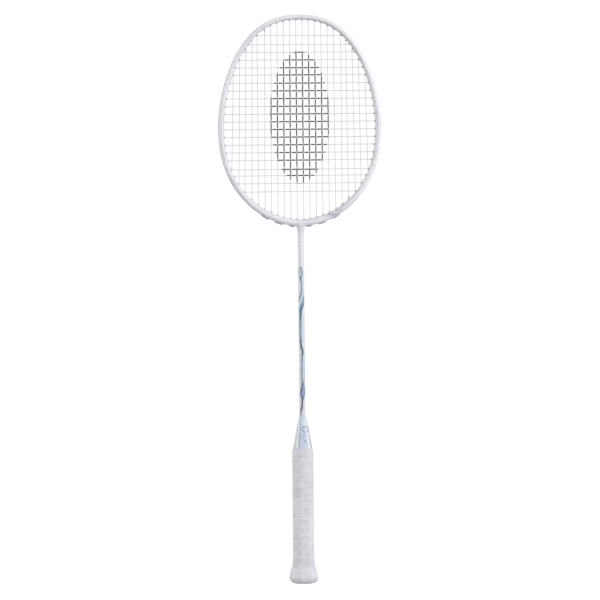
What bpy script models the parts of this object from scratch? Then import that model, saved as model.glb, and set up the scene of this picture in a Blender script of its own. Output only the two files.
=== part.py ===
"""Badminton racket, upright: +Z runs from the butt end to the head, and the strings lie in the XZ plane.

The origin is the middle of the flat butt end. The front face looks along -Y. Lengths below are in metres.
"""

import math

import bmesh
import bpy
from mathutils import Matrix, Vector

MM = 0.001
GAP = 0.3 * MM

# Head: the outer edge of the hoop is a superellipse, a little taller above its centre than below. The powers
# are those of X and Z in its outline. NEWTON_STEPS steps find the outline on a ray from the centre.
HEAD_CENTRE_Z = 543 * MM
HEAD_HALF_WIDTH = 97.8 * MM
HEAD_RISE = 132 * MM
HEAD_DROP = 118 * MM
TOP_POWERS = (2.4, 1.8)
LOW_POWERS = (1.9, 2.3)
NEWTON_STEPS = 12
HOOP_SIDE = 6.2 * MM
HOOP_TOP = 5.6 * MM
HOOP_THROAT = 7.6 * MM
HOOP_DEPTH = 10.8 * MM
HOOP_WALL = 1.0 * MM
HOOP_STEPS = 48

# String groove on the outside of the hoop. It fades out beside the throat.
GROOVE_DEPTH = 2.0 * MM
GROOVE_DEPTH_THROAT = 0.5 * MM
GROOVE_FLOOR_HALF = 2.2 * MM
GROOVE_LIP_HALF = 2.8 * MM
GROOVE_FADE_FROM = 62 * MM
GROOVE_FADE_TO = 36 * MM

# Throat: where the two ends of the hoop meet the shaft.
THROAT_HALF = 9 * MM
THROAT_STEPS = 6
STEM_END_Z = 404 * MM
STEM_RADII = ((429, 4.5), (425.6, 4.45), (421, 4.15), (415, 3.8), (409, 3.6), (404, 3.55))
CORE_ARM_HALF = 15 * MM
CORE_ARM_RADIAL = 1.9 * MM
CORE_ARM_DEPTH = 3.4 * MM
CORE_STEM_RADIUS = 2.3 * MM
CORE_STEM_END_Z = 376 * MM

# Strings and grommets.
STRING_RADIUS = 0.34 * MM
STRING_OFFSET = 0.45 * MM
MAINS_PER_SIDE = 11
MAIN_PITCH = 7.65 * MM
MAIN_FAN = 0.015
CROSS_COUNT = 21
CROSS_TOP_Z = 649 * MM
CROSS_PITCH = 9.12 * MM
HOLE_RADIUS = 1.95 * MM
BARREL_RADIUS = 1.6 * MM
BORE_RADIUS = 1.25 * MM
BARREL_SIDES = 6
BARREL_PROUD = 1.0 * MM
SHARED_HOLE_WITHIN = 4.6 * MM
STRAP_THICKNESS = 0.7 * MM
TWIN_THICKNESS = 1.2 * MM
STRAP_HALF = 1.85 * MM
STRAP_OVERHANG = 2.1 * MM
STRAP_STEP = 5 * MM
THROAT_HOLE_LEAN = math.radians(-20)
TWIN_PAIRS = 4
TOP_STRIP_MAINS = 6
SIDE_STRIPS = 3

# Shaft.
SHAFT_RADIUS = 3.55 * MM
SHAFT_BORE = 2.65 * MM
SHAFT_BOTTOM_Z = 115 * MM

# Handle. Sections are octagons given by (half width in X, half depth in Y).
FRONT_FACET = 0.44
SIDE_FACET = 0.445
CORE_OCTAGON = (10.5, 9.3)
CORE_SECTIONS = ((3.8, 10.5, 9.3), (150, 10.5, 9.3), (152, 9.2, 8.1), (176, 6.9, 6.3))
POCKET_SIZE = (4.0 * MM, 9.0 * MM, 92 * MM)
POCKET_X = 6.0 * MM
CAP_SECTIONS = ((0, 13.2, 11.9), (1.2, 14.9, 13.5), (3.4, 16.2, 14.8), (7, 16.9, 15.5), (9, 16.7, 15.3),
                (18.2, 14.2, 12.9), (18.5, 11.7, 10.5), (28.4, 11.7, 10.5))
CAP_ROUNDNESS = 0.3
CAP_FLOOR_Z = 3.5 * MM
BADGE_RADIUS = 9 * MM
BADGE_THICKNESS = 0.6 * MM
BADGE_RECESS = 1.6 * MM
TACK_Y = 5 * MM
TACK_HEAD_RADIUS = 1.6 * MM
TACK_HEAD_BOTTOM_Z = 0.9 * MM
TACK_HEAD_TOP_Z = 1.3 * MM
TACK_RADIUS = 0.6 * MM
TACK_TIP_Z = 13 * MM
BAND_SECTIONS = ((18.8, 13.9, 12.6), (21.2, 13.2, 11.95), (24, 12.75, 11.5), (28.4, 12.55, 11.35))
BAND_BORE = ((18.8, 12.0, 10.8), (21.2, 12.0, 10.8), (24, 12.0, 10.8), (28.4, 12.0, 10.8))
GRIP_SECTIONS = ((28.7, 12.3, 11.1), (151.3, 12.3, 11.1), (151.7, 11.5, 10.3), (158, 11.1, 9.9))
GRIP_BORE = ((28.7, 10.8, 9.6), (158, 10.8, 9.6))
TAPE_SECTIONS = ((152, 12.4, 11.2), (160.8, 11.8, 10.6))
TAPE_BORE = ((152, 11.8, 10.6), (160.8, 11.4, 10.2))
CONE_SECTIONS = ((153, 10.5, 9.3, 0), (158.2, 10.5, 9.3, 0), (158.5, 11.0, 9.9, 0), (161, 10.95, 9.85, 0),
                 (170, 9.3, 8.6, 0.05), (180, 7.75, 7.3, 0.2), (189, 6.1, 5.95, 0.5), (199, 4.2, 4.2, 1))
CONE_BORE = ((153, 9.5, 8.4, 0.0), (177, 7.2, 6.6, 0.0), (190, 4.6, 4.6, 0.9), (195, 3.87, 3.87, 1.0),
             (199, 3.87, 3.87, 1.0))

# ---------------------------------------------------------------- scene helpers


def clear_scene():
    for obj in list(bpy.data.objects):
        bpy.data.objects.remove(obj)


def collection(name):
    made = bpy.data.collections.new(name)
    bpy.context.scene.collection.children.link(made)
    return made


def material(name, colour, roughness, metallic=0.0):
    made = bpy.data.materials.new(name)
    made.use_nodes = True
    shader = made.node_tree.nodes["Principled BSDF"]
    shader.inputs["Base Color"].default_value = (*colour, 1.0)
    shader.inputs["Roughness"].default_value = roughness
    shader.inputs["Metallic"].default_value = metallic
    return made


def mesh_object(name, bm, finish=None):
    """A named object from a bmesh: a part if it has a finish, and otherwise a hidden cutter."""
    bmesh.ops.recalc_face_normals(bm, faces=bm.faces)
    mesh = bpy.data.meshes.new(name)
    bm.to_mesh(mesh)
    bm.free()
    obj = bpy.data.objects.new(name, mesh)
    if finish is None:
        CUTTERS.objects.link(obj)
        hide(obj)
    else:
        RACKET.objects.link(obj)
        mesh.materials.append(finish)
        mesh.shade_smooth()
        mesh.set_sharp_from_angle(angle=math.radians(32))
    return obj


def hide(obj):
    obj.hide_render = True
    obj.display_type = "WIRE"


def boolean(obj, other, operation="DIFFERENCE"):
    modifier = obj.modifiers.new(operation.lower() + "_" + other.name, "BOOLEAN")
    modifier.operation = operation
    modifier.solver = "EXACT"
    modifier.object = other


def loft(bm, rings, close_path=False):
    """Skins a list of rings, each with the same number of points, and caps the two ends."""
    made = [[bm.verts.new(point) for point in ring] for ring in rings]
    pairs = list(zip(made, made[1:]))
    if close_path:
        pairs.append((made[-1], made[0]))
    for low, high in pairs:
        for i in range(len(low)):
            j = (i + 1) % len(low)
            bm.faces.new((low[i], low[j], high[j], high[i]))
    if not close_path:
        bm.faces.new(made[0])
        bm.faces.new(made[-1])
    return made


def tube_loft(bm, outer_rings, inner_rings):
    """Skins a tube with open ends: an outer and an inner surface, joined round both end rims."""
    walls = []
    for rings in (outer_rings, inner_rings):
        made = [[bm.verts.new(point) for point in ring] for ring in rings]
        for low, high in zip(made, made[1:]):
            for i in range(len(low)):
                j = (i + 1) % len(low)
                bm.faces.new((low[i], low[j], high[j], high[i]))
        walls.append(made)
    for end in (0, -1):
        outside, inside = walls[0][end], walls[1][end]
        for i in range(len(outside)):
            j = (i + 1) % len(outside)
            bm.faces.new((outside[i], outside[j], inside[j], inside[i]))


def prism(bm, start, end, radius, sides):
    """A closed prism from start to end. One corner of its section lies along +Y."""
    along = (end - start).normalized()
    across = Vector((0, 1, 0))
    turn = Matrix((across, along.cross(across), along)).transposed().to_4x4()
    place = Matrix.Translation((start + end) / 2) @ turn
    bmesh.ops.create_cone(bm, cap_ends=True, cap_tris=False, segments=sides, radius1=radius, radius2=radius,
                          depth=(end - start).length, matrix=place)


def cylinder(bm, radius, bottom_z, top_z, sides=24, y=0.0):
    place = Matrix.Translation((0, y, (bottom_z + top_z) / 2))
    bmesh.ops.create_cone(bm, cap_ends=True, cap_tris=False, segments=sides, radius1=radius, radius2=radius,
                          depth=top_z - bottom_z, matrix=place)


def facet_ring(z, half_x, half_y, roundness=0.0, grow=0.0):
    """A ring of 16 points, in mm: an octagon at roundness 0, an ellipse at 1, and a blend in between."""
    half_x, half_y = half_x + grow, half_y + grow
    face_x, face_y = half_x * FRONT_FACET, half_y * SIDE_FACET
    bevel = ((half_x + face_x) / 2, (half_y + face_y) / 2)
    quarter = ((half_x, 0), (half_x, face_y), bevel, (face_x, half_y))
    octagon = list(quarter) + [(0, half_y)] + [(-x, y) for x, y in reversed(quarter[1:])]
    octagon += [(-x, -y) for x, y in quarter] + [(0, -half_y)] + [(x, -y) for x, y in reversed(quarter[1:])]
    ring = []
    for x, y in octagon:
        angle = math.atan2(y / half_y, x / half_x)
        round_x, round_y = half_x * math.cos(angle), half_y * math.sin(angle)
        ring.append(Vector((x + (round_x - x) * roundness, y + (round_y - y) * roundness, z)) * MM)
    return ring


def smooth_step(low, high, value):
    share = min(1.0, max(0.0, (value - low) / (high - low)))
    return share * share * (3 - 2 * share)


# ---------------------------------------------------------------- the hoop's line


class Hoop:
    """The hoop's centreline. An angle of 0 points to +X, 90 degrees to the head's top, -90 to the throat."""

    half_width = HEAD_HALF_WIDTH - HOOP_SIDE / 2
    rise = HEAD_RISE - HOOP_TOP / 2
    drop = HEAD_DROP - HOOP_THROAT / 2

    @classmethod
    def half(cls, upper):
        """Height of the upper or lower half, and the powers of X and Z in its outline."""
        return (cls.rise, *TOP_POWERS) if upper else (cls.drop, *LOW_POWERS)

    @classmethod
    def centre(cls, angle):
        """The point where the ray at this angle meets the outline, by Newton's method from outside it."""
        c, s = math.cos(angle), math.sin(angle)
        height, power_x, power_z = cls.half(s > 0)
        reach = 2 * height
        for _ in range(NEWTON_STEPS):
            share_x = abs(reach * c / cls.half_width) ** power_x
            share_z = abs(reach * s / height) ** power_z
            reach *= 1 - (share_x + share_z - 1) / (power_x * share_x + power_z * share_z)
        return Vector((reach * c, 0, HEAD_CENTRE_Z + reach * s))

    @classmethod
    def normal(cls, angle):
        """Unit vector in the plane of the strings, out of the head."""
        point = cls.centre(angle)
        z = point.z - HEAD_CENTRE_Z
        height, power_x, power_z = cls.half(z > 0)
        slope_x = power_x * abs(point.x / cls.half_width) ** (power_x - 1) / cls.half_width
        slope_z = power_z * abs(z / height) ** (power_z - 1) / height
        return Vector((math.copysign(slope_x, point.x), 0, math.copysign(slope_z, z))).normalized()

    @staticmethod
    def thickness(angle):
        """Size of the section in the plane of the strings."""
        s = math.sin(angle)
        if s > 0:
            return HOOP_SIDE + (HOOP_TOP - HOOP_SIDE) * smooth_step(0.3, 1.0, s)
        return HOOP_SIDE + (HOOP_THROAT - HOOP_SIDE) * smooth_step(0.72, 0.98, -s)

    @classmethod
    def groove(cls, angle):
        if math.sin(angle) > 0:
            return GROOVE_DEPTH
        share = smooth_step(GROOVE_FADE_TO, GROOVE_FADE_FROM, abs(cls.centre(angle).x))
        return GROOVE_DEPTH_THROAT + (GROOVE_DEPTH - GROOVE_DEPTH_THROAT) * share

    @classmethod
    def floor(cls, angle):
        """How far the groove's floor lies outside the centreline."""
        return cls.thickness(angle) / 2 - cls.groove(angle)

    @classmethod
    def at(cls, angle, out, y=0.0):
        point = cls.centre(angle) + cls.normal(angle) * out
        point.y = y
        return point

    @classmethod
    def section(cls, angle, inset=0.0):
        """The ring of the section at this angle. With an inset it is the wall's inner surface."""
        t, d, floor = cls.thickness(angle), HOOP_DEPTH, cls.floor(angle)
        half = (
            (floor - inset, GROOVE_FLOOR_HALF),
            (t / 2 - inset, GROOVE_LIP_HALF + 0.6 * inset),
            (0.34 * t - 0.6 * inset, 0.42 * d - 0.7 * inset),
            (0.02 * t, 0.5 * d - inset),
            (-0.32 * t + 0.6 * inset, 0.41 * d - 0.7 * inset),
            (-0.5 * t + inset, 0.17 * d),
        )
        outline = list(half) + [(out, -y) for out, y in reversed(half)]
        return [cls.at(angle, out, y) for out, y in outline]

    @classmethod
    def bottom_angle(cls, x):
        """The angle at which the centreline's lower part is at this x, for x from 0 up."""
        low, high = math.radians(-90), math.radians(-10)
        for _ in range(60):
            middle = (low + high) / 2
            if cls.centre(middle).x < x:
                low = middle
            else:
                high = middle
        return low


# ---------------------------------------------------------------- holes and strings


class Hole:
    """One grommet hole, on the side of +X for side 1 and of -X for side -1."""

    def __init__(self, angle, side, lean=0.0):
        self.angle, self.side = angle, side
        axis = Matrix.Rotation(lean, 3, "Y") @ Hoop.normal(angle)
        centre = Hoop.centre(angle)
        reach = Hoop.thickness(angle) / 2 + BARREL_PROUD
        self.floor = Hoop.floor(angle) / math.cos(lean)
        radius = (centre - Vector((0, 0, HEAD_CENTRE_Z))).length
        mouth_angle = angle - math.tan(lean) * Hoop.floor(angle) / radius
        self.mouth_angle = mouth_angle if side > 0 else math.pi - mouth_angle
        self.centre = self.mirrored(centre)
        self.axis = self.mirrored(axis)
        self.tip = self.centre - self.axis * (reach / math.cos(lean))

    def mirrored(self, vector):
        return Vector((vector.x * self.side, vector.y, vector.z))

    def out(self, distance):
        return self.centre + self.axis * distance


def angle_where(coordinate, target, low, high, lean=0.0):
    """The angle from low to high, in degrees, at which the barrel's tip has this coordinate."""

    def value(angle):
        hole = Hole(angle, 1, lean)
        return getattr(hole.tip, coordinate) - target

    low, high = math.radians(low), math.radians(high)
    rising = value(high) > value(low)
    for _ in range(60):
        middle = (low + high) / 2
        if (value(middle) > 0) == rising:
            high = middle
        else:
            low = middle
    return low


def main_x(number, fan):
    return MAIN_PITCH * (number - 0.5) * (1 + fan)


def string_ends():
    """Angles of the right side's string ends: (angle, kind, number), from the throat to the top."""
    ends = []
    for number in range(1, MAINS_PER_SIDE + 1):
        lean = THROAT_HOLE_LEAN if number == 1 else 0.0
        ends.append((angle_where("x", main_x(number, MAIN_FAN), -90, -5, lean), "main_bottom", number))
        ends.append((angle_where("x", main_x(number, -MAIN_FAN), 90, 5), "main_top", number))
    for number in range(1, CROSS_COUNT + 1):
        ends.append((angle_where("z", cross_z(number), -80, 80), "cross", number))
    return sorted(ends)


def cross_z(number):
    return CROSS_TOP_Z - CROSS_PITCH * (number - 1)


def make_holes():
    """Holes of both sides, and the hole of each string end. Two ends that lie close together share a hole."""
    groups = []
    for end in string_ends():
        if groups:
            last = groups[-1][-1]
            near = (Hoop.centre(end[0]) - Hoop.centre(last[0])).length < SHARED_HOLE_WITHIN
            if near and len(groups[-1]) == 1:
                groups[-1].append(end)
                continue
        groups.append([end])
    holes, hole_of = [], {}
    for side in (1, -1):
        for group in groups:
            angle = sum(end[0] for end in group) / len(group)
            innermost = ("main_bottom", 1) == group[0][1:]
            hole = Hole(angle, side, THROAT_HOLE_LEAN if innermost else 0.0)
            hole.ends = [end[1:] for end in group]
            holes.append(hole)
            for _, kind, number in group:
                hole_of[(kind, number, side)] = hole
    return holes, hole_of


def loop_height(hole):
    """Distance from the centreline at which a string crosses the grommet strap at this hole."""
    return hole.floor + GAP + strap_thickness(hole) + GAP + STRING_RADIUS


def strap_thickness(hole):
    kinds = [kind for kind, number in hole.ends if kind == "main_bottom" and number <= 2 * TWIN_PAIRS]
    return TWIN_THICKNESS if kinds else STRAP_THICKNESS


def loop_points(first, second):
    """Points of the short run outside the hoop from one hole to the next."""
    start, end = first.out(loop_height(first)), second.out(loop_height(second))
    points = [start]
    if first.side == second.side and (end - start).length > 8 * MM:
        angle = (first.angle + second.angle) / 2
        height = (loop_height(first) + loop_height(second)) / 2
        middle = Hoop.at(angle, height)
        middle.x *= first.side
        points.append(middle)
    points.append(end)
    return points


def main_route(hole_of):
    """One string: up and down all the mains, from the left side's last main to the right side's."""

    def passes(side):
        for number in range(1, MAINS_PER_SIDE + 1):
            top, bottom = hole_of[("main_top", number, side)], hole_of[("main_bottom", number, side)]
            yield (top, bottom) if number % 2 else (bottom, top)

    left = [(end, start) for start, end in reversed(list(passes(-1)))]
    return serpentine(left + list(passes(1)), -STRING_OFFSET)


def cross_route(hole_of):
    """One string: to and fro across the head, from the top cross to the bottom one."""
    passes = []
    for number in range(1, CROSS_COUNT + 1):
        left, right = hole_of[("cross", number, -1)], hole_of[("cross", number, 1)]
        passes.append((left, right) if number % 2 else (right, left))
    return serpentine(passes, STRING_OFFSET)


def serpentine(passes, y):
    """Joins passes, each from one hole to another, with loops round the outside of the hoop."""
    points = [passes[0][0].out(loop_height(passes[0][0]))]
    for index, (start, end) in enumerate(passes):
        points += [start.tip, end.tip]
        if index + 1 < len(passes):
            points += loop_points(end, passes[index + 1][0])
        else:
            points.append(end.out(loop_height(end)))
    return [Vector((point.x, y, point.z)) for point in points]


# ---------------------------------------------------------------- head parts


def hoop_rings(start, end, steps, inset=0.0):
    return [Hoop.section(start + (end - start) * i / steps, inset) for i in range(steps + 1)]


def frame_hoop(holes_cutter, finish):
    """Carbon tube from one side of the throat, over the top, to the other."""
    start = Hoop.bottom_angle(THROAT_HALF)
    end = math.pi - start
    bm = bmesh.new()
    tube_loft(bm, hoop_rings(start, end, HOOP_STEPS), hoop_rings(start, end, HOOP_STEPS, HOOP_WALL))
    obj = mesh_object("frame_hoop", bm, finish)
    boolean(obj, holes_cutter)


def throat_angles():
    start = Hoop.bottom_angle(THROAT_HALF - GAP)
    return -math.pi - start, start


def oval_ring(angle, radial, depth, sides=12):
    turns = [2 * math.pi * i / sides for i in range(sides)]
    return [Hoop.at(angle, radial * math.cos(turn), depth * math.sin(turn)) for turn in turns]


def arm_mesh(grow):
    bm = bmesh.new()
    start = Hoop.bottom_angle(CORE_ARM_HALF + grow)
    first, last = -math.pi - start, start
    steps = 8
    rings = [oval_ring(first + (last - first) * i / steps, CORE_ARM_RADIAL + grow, CORE_ARM_DEPTH + grow)
             for i in range(steps + 1)]
    loft(bm, rings)
    return bm


def core_stem_mesh(grow):
    bm = bmesh.new()
    top = Hoop.centre(math.radians(-90)).z
    cylinder(bm, CORE_STEM_RADIUS + grow, CORE_STEM_END_Z - grow, top, sides=16)
    return bm


def throat_shell(holes_cutter, finish):
    """Moulded T that closes the hoop and flares down into the shaft."""
    first, last = throat_angles()
    bm = bmesh.new()
    loft(bm, hoop_rings(first, last, THROAT_STEPS))
    obj = mesh_object("throat_shell", bm, finish)
    stem = bmesh.new()
    rings = []
    for z, radius in STEM_RADII:
        rings.append(facet_ring(z, radius, radius, roundness=1.0))
    loft(stem, rings)
    boolean(obj, mesh_object("throat_stem", stem), "UNION")
    boolean(obj, mesh_object("throat_arm_room", arm_mesh(GAP)))
    boolean(obj, mesh_object("throat_stem_room", core_stem_mesh(GAP)))
    boolean(obj, holes_cutter)


def t_joint_core(holes_cutter, finish):
    """T-shaped insert: its arms plug into the hoop's two ends and its stem into the shaft."""
    obj = mesh_object("t_joint_core", arm_mesh(0), finish)
    boolean(obj, mesh_object("core_stem", core_stem_mesh(0)), "UNION")
    boolean(obj, holes_cutter)


def drill(holes):
    """Cutter for every grommet hole, through both walls of the hoop."""
    bm = bmesh.new()
    for hole in holes:
        prism(bm, hole.tip - hole.axis * 2 * MM, hole.out(8 * MM), HOLE_RADIUS, BARREL_SIDES)
    return mesh_object("grommet_holes", bm)


def grommet(name, holes, finish):
    """A strap in the groove with one barrel for each hole, and a bore through each barrel."""
    overhang = STRAP_OVERHANG / HEAD_RISE
    low = min(hole.mouth_angle for hole in holes) - overhang
    high = max(hole.mouth_angle for hole in holes) + overhang
    steps = max(4, round((high - low) * HEAD_RISE / STRAP_STEP))
    thickness = strap_thickness(holes[0])
    rings = []
    for i in range(steps + 1):
        angle = low + (high - low) * i / steps
        inner = Hoop.floor(angle) + GAP
        outer = inner + thickness
        rings.append([Hoop.at(angle, inner, -STRAP_HALF), Hoop.at(angle, outer, -STRAP_HALF * 0.7),
                      Hoop.at(angle, outer, STRAP_HALF * 0.7), Hoop.at(angle, inner, STRAP_HALF)])
    bm = bmesh.new()
    loft(bm, rings)
    obj = mesh_object(name, bm, finish)
    barrels, bores = bmesh.new(), bmesh.new()
    for hole in holes:
        inside = hole.floor + GAP + thickness * 0.45
        prism(barrels, hole.tip, hole.out(inside), BARREL_RADIUS, BARREL_SIDES)
        prism(bores, hole.tip - hole.axis * MM, hole.out(inside + 3 * MM), BORE_RADIUS, BARREL_SIDES)
    boolean(obj, mesh_object(name + "_barrels", barrels), "UNION")
    boolean(obj, mesh_object(name + "_bores", bores))


def grommets(holes, finish):
    """Twin grommets beside the throat, strips up both sides, and one strip over the top."""
    for side, word in ((1, "right"), (-1, "left")):
        mine = [hole for hole in holes if hole.side == side]
        for pair in range(TWIN_PAIRS):
            grommet(f"twin_grommet_{word}_{pair + 1}", mine[2 * pair:2 * pair + 2], finish)
        rest = [hole for hole in mine[2 * TWIN_PAIRS:] if not is_top(hole)]
        for index in range(SIDE_STRIPS):
            first, last = (round(len(rest) * share / SIDE_STRIPS) for share in (index, index + 1))
            grommet(f"side_grommet_strip_{word}_{index + 1}", rest[first:last], finish)
    grommet("top_grommet_strip", [hole for hole in holes if is_top(hole)], finish)


def is_top(hole):
    return any(kind == "main_top" and number <= TOP_STRIP_MAINS for kind, number in hole.ends)


def string(name, points, finish):
    curve = bpy.data.curves.new(name, "CURVE")
    curve.dimensions = "3D"
    curve.bevel_depth = STRING_RADIUS
    curve.bevel_resolution = 1
    curve.use_fill_caps = True
    spline = curve.splines.new("POLY")
    spline.points.add(len(points) - 1)
    for slot, point in zip(spline.points, points):
        slot.co = (*point, 1.0)
    curve.materials.append(finish)
    RACKET.objects.link(bpy.data.objects.new(name, curve))


# ---------------------------------------------------------------- shaft and handle parts


def shaft(finish):
    bm = bmesh.new()
    cylinder(bm, SHAFT_RADIUS, SHAFT_BOTTOM_Z, STEM_END_Z - GAP)
    obj = mesh_object("shaft", bm, finish)
    bore = bmesh.new()
    cylinder(bore, SHAFT_BORE, SHAFT_BOTTOM_Z - MM, STEM_END_Z + MM)
    boolean(obj, mesh_object("shaft_bore", bore))


def cone(finish):
    """Hollow cone that covers the wooden handle's nose and hugs the shaft."""
    bm = bmesh.new()
    tube_loft(bm, [facet_ring(*section) for section in CONE_SECTIONS],
              [facet_ring(*section) for section in CONE_BORE])
    mesh_object("handle_cone", bm, finish)


def handle_core(finish):
    """Wooden handle: an octagon with a tapered nose, a hole for the shaft and two pockets from the butt."""
    bm = bmesh.new()
    loft(bm, [facet_ring(*section) for section in CORE_SECTIONS])
    obj = mesh_object("handle_core", bm, finish)
    socket = bmesh.new()
    cylinder(socket, SHAFT_RADIUS + GAP, SHAFT_BOTTOM_Z - 3 * MM, CORE_SECTIONS[-1][0] * MM + 5 * MM)
    boolean(obj, mesh_object("shaft_socket", socket))
    pockets = bmesh.new()
    bottom = CORE_SECTIONS[0][0] * MM
    for side in (1, -1):
        place = Matrix.Translation((side * POCKET_X, 0, bottom + POCKET_SIZE[2] / 2 - 2 * MM))
        bmesh.ops.create_cube(pockets, size=1, matrix=place @ Matrix.Diagonal(POCKET_SIZE).to_4x4())
    boolean(obj, mesh_object("core_pockets", pockets))
    boolean(obj, tack_holes("core_tack_holes"))


def tack_holes(name):
    bm = bmesh.new()
    for side in (1, -1):
        cylinder(bm, TACK_RADIUS + GAP, 0, TACK_TIP_Z + GAP, sides=12, y=side * TACK_Y)
    return mesh_object(name, bm)


def butt_cap(finish):
    """Flared cap over the butt end, with a collar for the grip's first band and a recess for the badge."""
    bm = bmesh.new()
    roundness = [CAP_ROUNDNESS if z < 18.3 else 0.0 for z, _, _ in CAP_SECTIONS]
    loft(bm, [facet_ring(*section, share) for section, share in zip(CAP_SECTIONS, roundness)])
    obj = mesh_object("butt_cap", bm, finish)
    room = bmesh.new()
    top = CAP_SECTIONS[-1][0] + 1
    loft(room, [facet_ring(z, *CORE_OCTAGON, grow=GAP / MM) for z in (CAP_FLOOR_Z / MM, top)])
    boolean(obj, mesh_object("core_room", room))
    recess = bmesh.new()
    cylinder(recess, BADGE_RADIUS + GAP, -MM, BADGE_RECESS, sides=32)
    boolean(obj, mesh_object("badge_recess", recess))
    boolean(obj, tack_holes("cap_tack_holes"))


def butt_badge(finish):
    bm = bmesh.new()
    cylinder(bm, BADGE_RADIUS, 0, BADGE_THICKNESS, sides=32)
    mesh_object("butt_badge", bm, finish)


def tacks(finish):
    """Two tacks that hold the cap to the wood. The badge covers their heads."""
    for side, word in ((1, "back"), (-1, "front")):
        bm = bmesh.new()
        cylinder(bm, TACK_HEAD_RADIUS, TACK_HEAD_BOTTOM_Z, TACK_HEAD_TOP_Z, sides=16, y=side * TACK_Y)
        obj = mesh_object("cap_tack_" + word, bm, finish)
        pin = bmesh.new()
        cylinder(pin, TACK_RADIUS, (TACK_HEAD_BOTTOM_Z + TACK_HEAD_TOP_Z) / 2, TACK_TIP_Z, sides=12,
                 y=side * TACK_Y)
        boolean(obj, mesh_object("tack_pin_" + word, pin), "UNION")


def sleeve(name, sections, bore, finish):
    """A tube round the handle, from its outer and inner octagons."""
    bm = bmesh.new()
    tube_loft(bm, [facet_ring(*section) for section in sections], [facet_ring(*section) for section in bore])
    mesh_object(name, bm, finish)


def main():
    carbon_white = material("white_lacquer", (0.80, 0.80, 0.86), 0.18)
    shaft_paint = material("shaft_lacquer", (0.72, 0.78, 0.86), 0.15)
    core_plastic = material("core_plastic", (0.10, 0.10, 0.11), 0.5)
    grommet_plastic = material("grommet_plastic", (0.70, 0.70, 0.73), 0.45)
    nylon = material("string_nylon", (0.90, 0.90, 0.90), 0.35)
    cone_paint = material("cone_lacquer", (0.74, 0.79, 0.90), 0.22)
    wood = material("handle_wood", (0.62, 0.45, 0.28), 0.7)
    cap_plastic = material("cap_plastic", (0.74, 0.74, 0.78), 0.4)
    badge_film = material("badge_film", (0.60, 0.63, 0.72), 0.3)
    steel = material("tack_steel", (0.55, 0.55, 0.57), 0.35, 1.0)
    grip_foam = material("grip_polyurethane", (0.68, 0.68, 0.72), 0.75)
    tape_film = material("tape_film", (0.78, 0.78, 0.81), 0.4)

    holes, hole_of = make_holes()
    holes_cutter = drill(holes)
    frame_hoop(holes_cutter, carbon_white)
    throat_shell(holes_cutter, carbon_white)
    t_joint_core(holes_cutter, core_plastic)
    grommets(holes, grommet_plastic)
    string("main_string", main_route(hole_of), nylon)
    string("cross_string", cross_route(hole_of), nylon)

    shaft(shaft_paint)
    cone(cone_paint)
    handle_core(wood)
    butt_cap(cap_plastic)
    butt_badge(badge_film)
    tacks(steel)
    sleeve("grip_start_band", BAND_SECTIONS, BAND_BORE, tape_film)
    sleeve("grip_wrap", GRIP_SECTIONS, GRIP_BORE, grip_foam)
    sleeve("finishing_tape", TAPE_SECTIONS, TAPE_BORE, tape_film)


clear_scene()
RACKET = collection("badminton_racket")
CUTTERS = collection("cutters")
main()
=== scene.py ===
"""The looks of the badminton racket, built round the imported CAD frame.

The racket stands on its butt end: +Z is the long axis, the strings lie in the XZ plane, and the front looks
along -Y.
"""

import math

import bmesh
import bpy
import numpy as np
from mathutils import Matrix, Vector, noise


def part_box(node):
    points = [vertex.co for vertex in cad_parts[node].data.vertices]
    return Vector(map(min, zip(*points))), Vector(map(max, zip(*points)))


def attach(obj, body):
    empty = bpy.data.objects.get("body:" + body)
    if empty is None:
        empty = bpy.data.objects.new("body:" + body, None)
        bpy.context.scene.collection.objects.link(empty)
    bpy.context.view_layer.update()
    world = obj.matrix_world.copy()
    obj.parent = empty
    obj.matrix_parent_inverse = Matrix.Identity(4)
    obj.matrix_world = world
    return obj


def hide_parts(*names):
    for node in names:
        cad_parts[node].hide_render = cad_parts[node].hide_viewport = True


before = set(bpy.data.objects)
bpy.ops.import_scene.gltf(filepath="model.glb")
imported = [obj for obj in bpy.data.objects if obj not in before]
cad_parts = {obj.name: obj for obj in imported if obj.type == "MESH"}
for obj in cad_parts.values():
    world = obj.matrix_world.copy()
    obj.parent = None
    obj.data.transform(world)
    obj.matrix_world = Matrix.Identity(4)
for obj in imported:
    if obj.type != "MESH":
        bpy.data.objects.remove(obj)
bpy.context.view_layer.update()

MM = 0.001
TURN = 2 * math.pi
GAP = 0.3 * MM

# ---------------- driving sizes, from the frame where it has them

HOOP_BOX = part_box("frame_hoop")
THROAT_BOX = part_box("throat_shell")
SHAFT_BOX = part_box("shaft")
CONE_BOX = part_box("handle_cone")
GRIP_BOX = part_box("grip_wrap")
TAPE_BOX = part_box("finishing_tape")
BADGE_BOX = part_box("butt_badge")

HEAD_CENTRE_Z = 543 * MM
HEAD_HALF_WIDTH = 97.8 * MM
HEAD_RISE = HOOP_BOX[1].z - HEAD_CENTRE_Z
HEAD_DROP = 118 * MM
TOP_POWERS = (2.4, 1.8)
LOW_POWERS = (1.9, 2.3)
NEWTON_STEPS = 12
BISECTIONS = 60
HOOP_SIDE = 6.2 * MM
HOOP_TOP = 5.6 * MM
HOOP_THROAT = 7.6 * MM
HOOP_DEPTH = HOOP_BOX[1].y - HOOP_BOX[0].y
GROOVE_DEPTH = 2.0 * MM
GROOVE_DEPTH_THROAT = 0.5 * MM
GROOVE_FADE_FROM = 62 * MM
GROOVE_FADE_TO = 36 * MM
STEM_END_Z = THROAT_BOX[0].z

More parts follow.
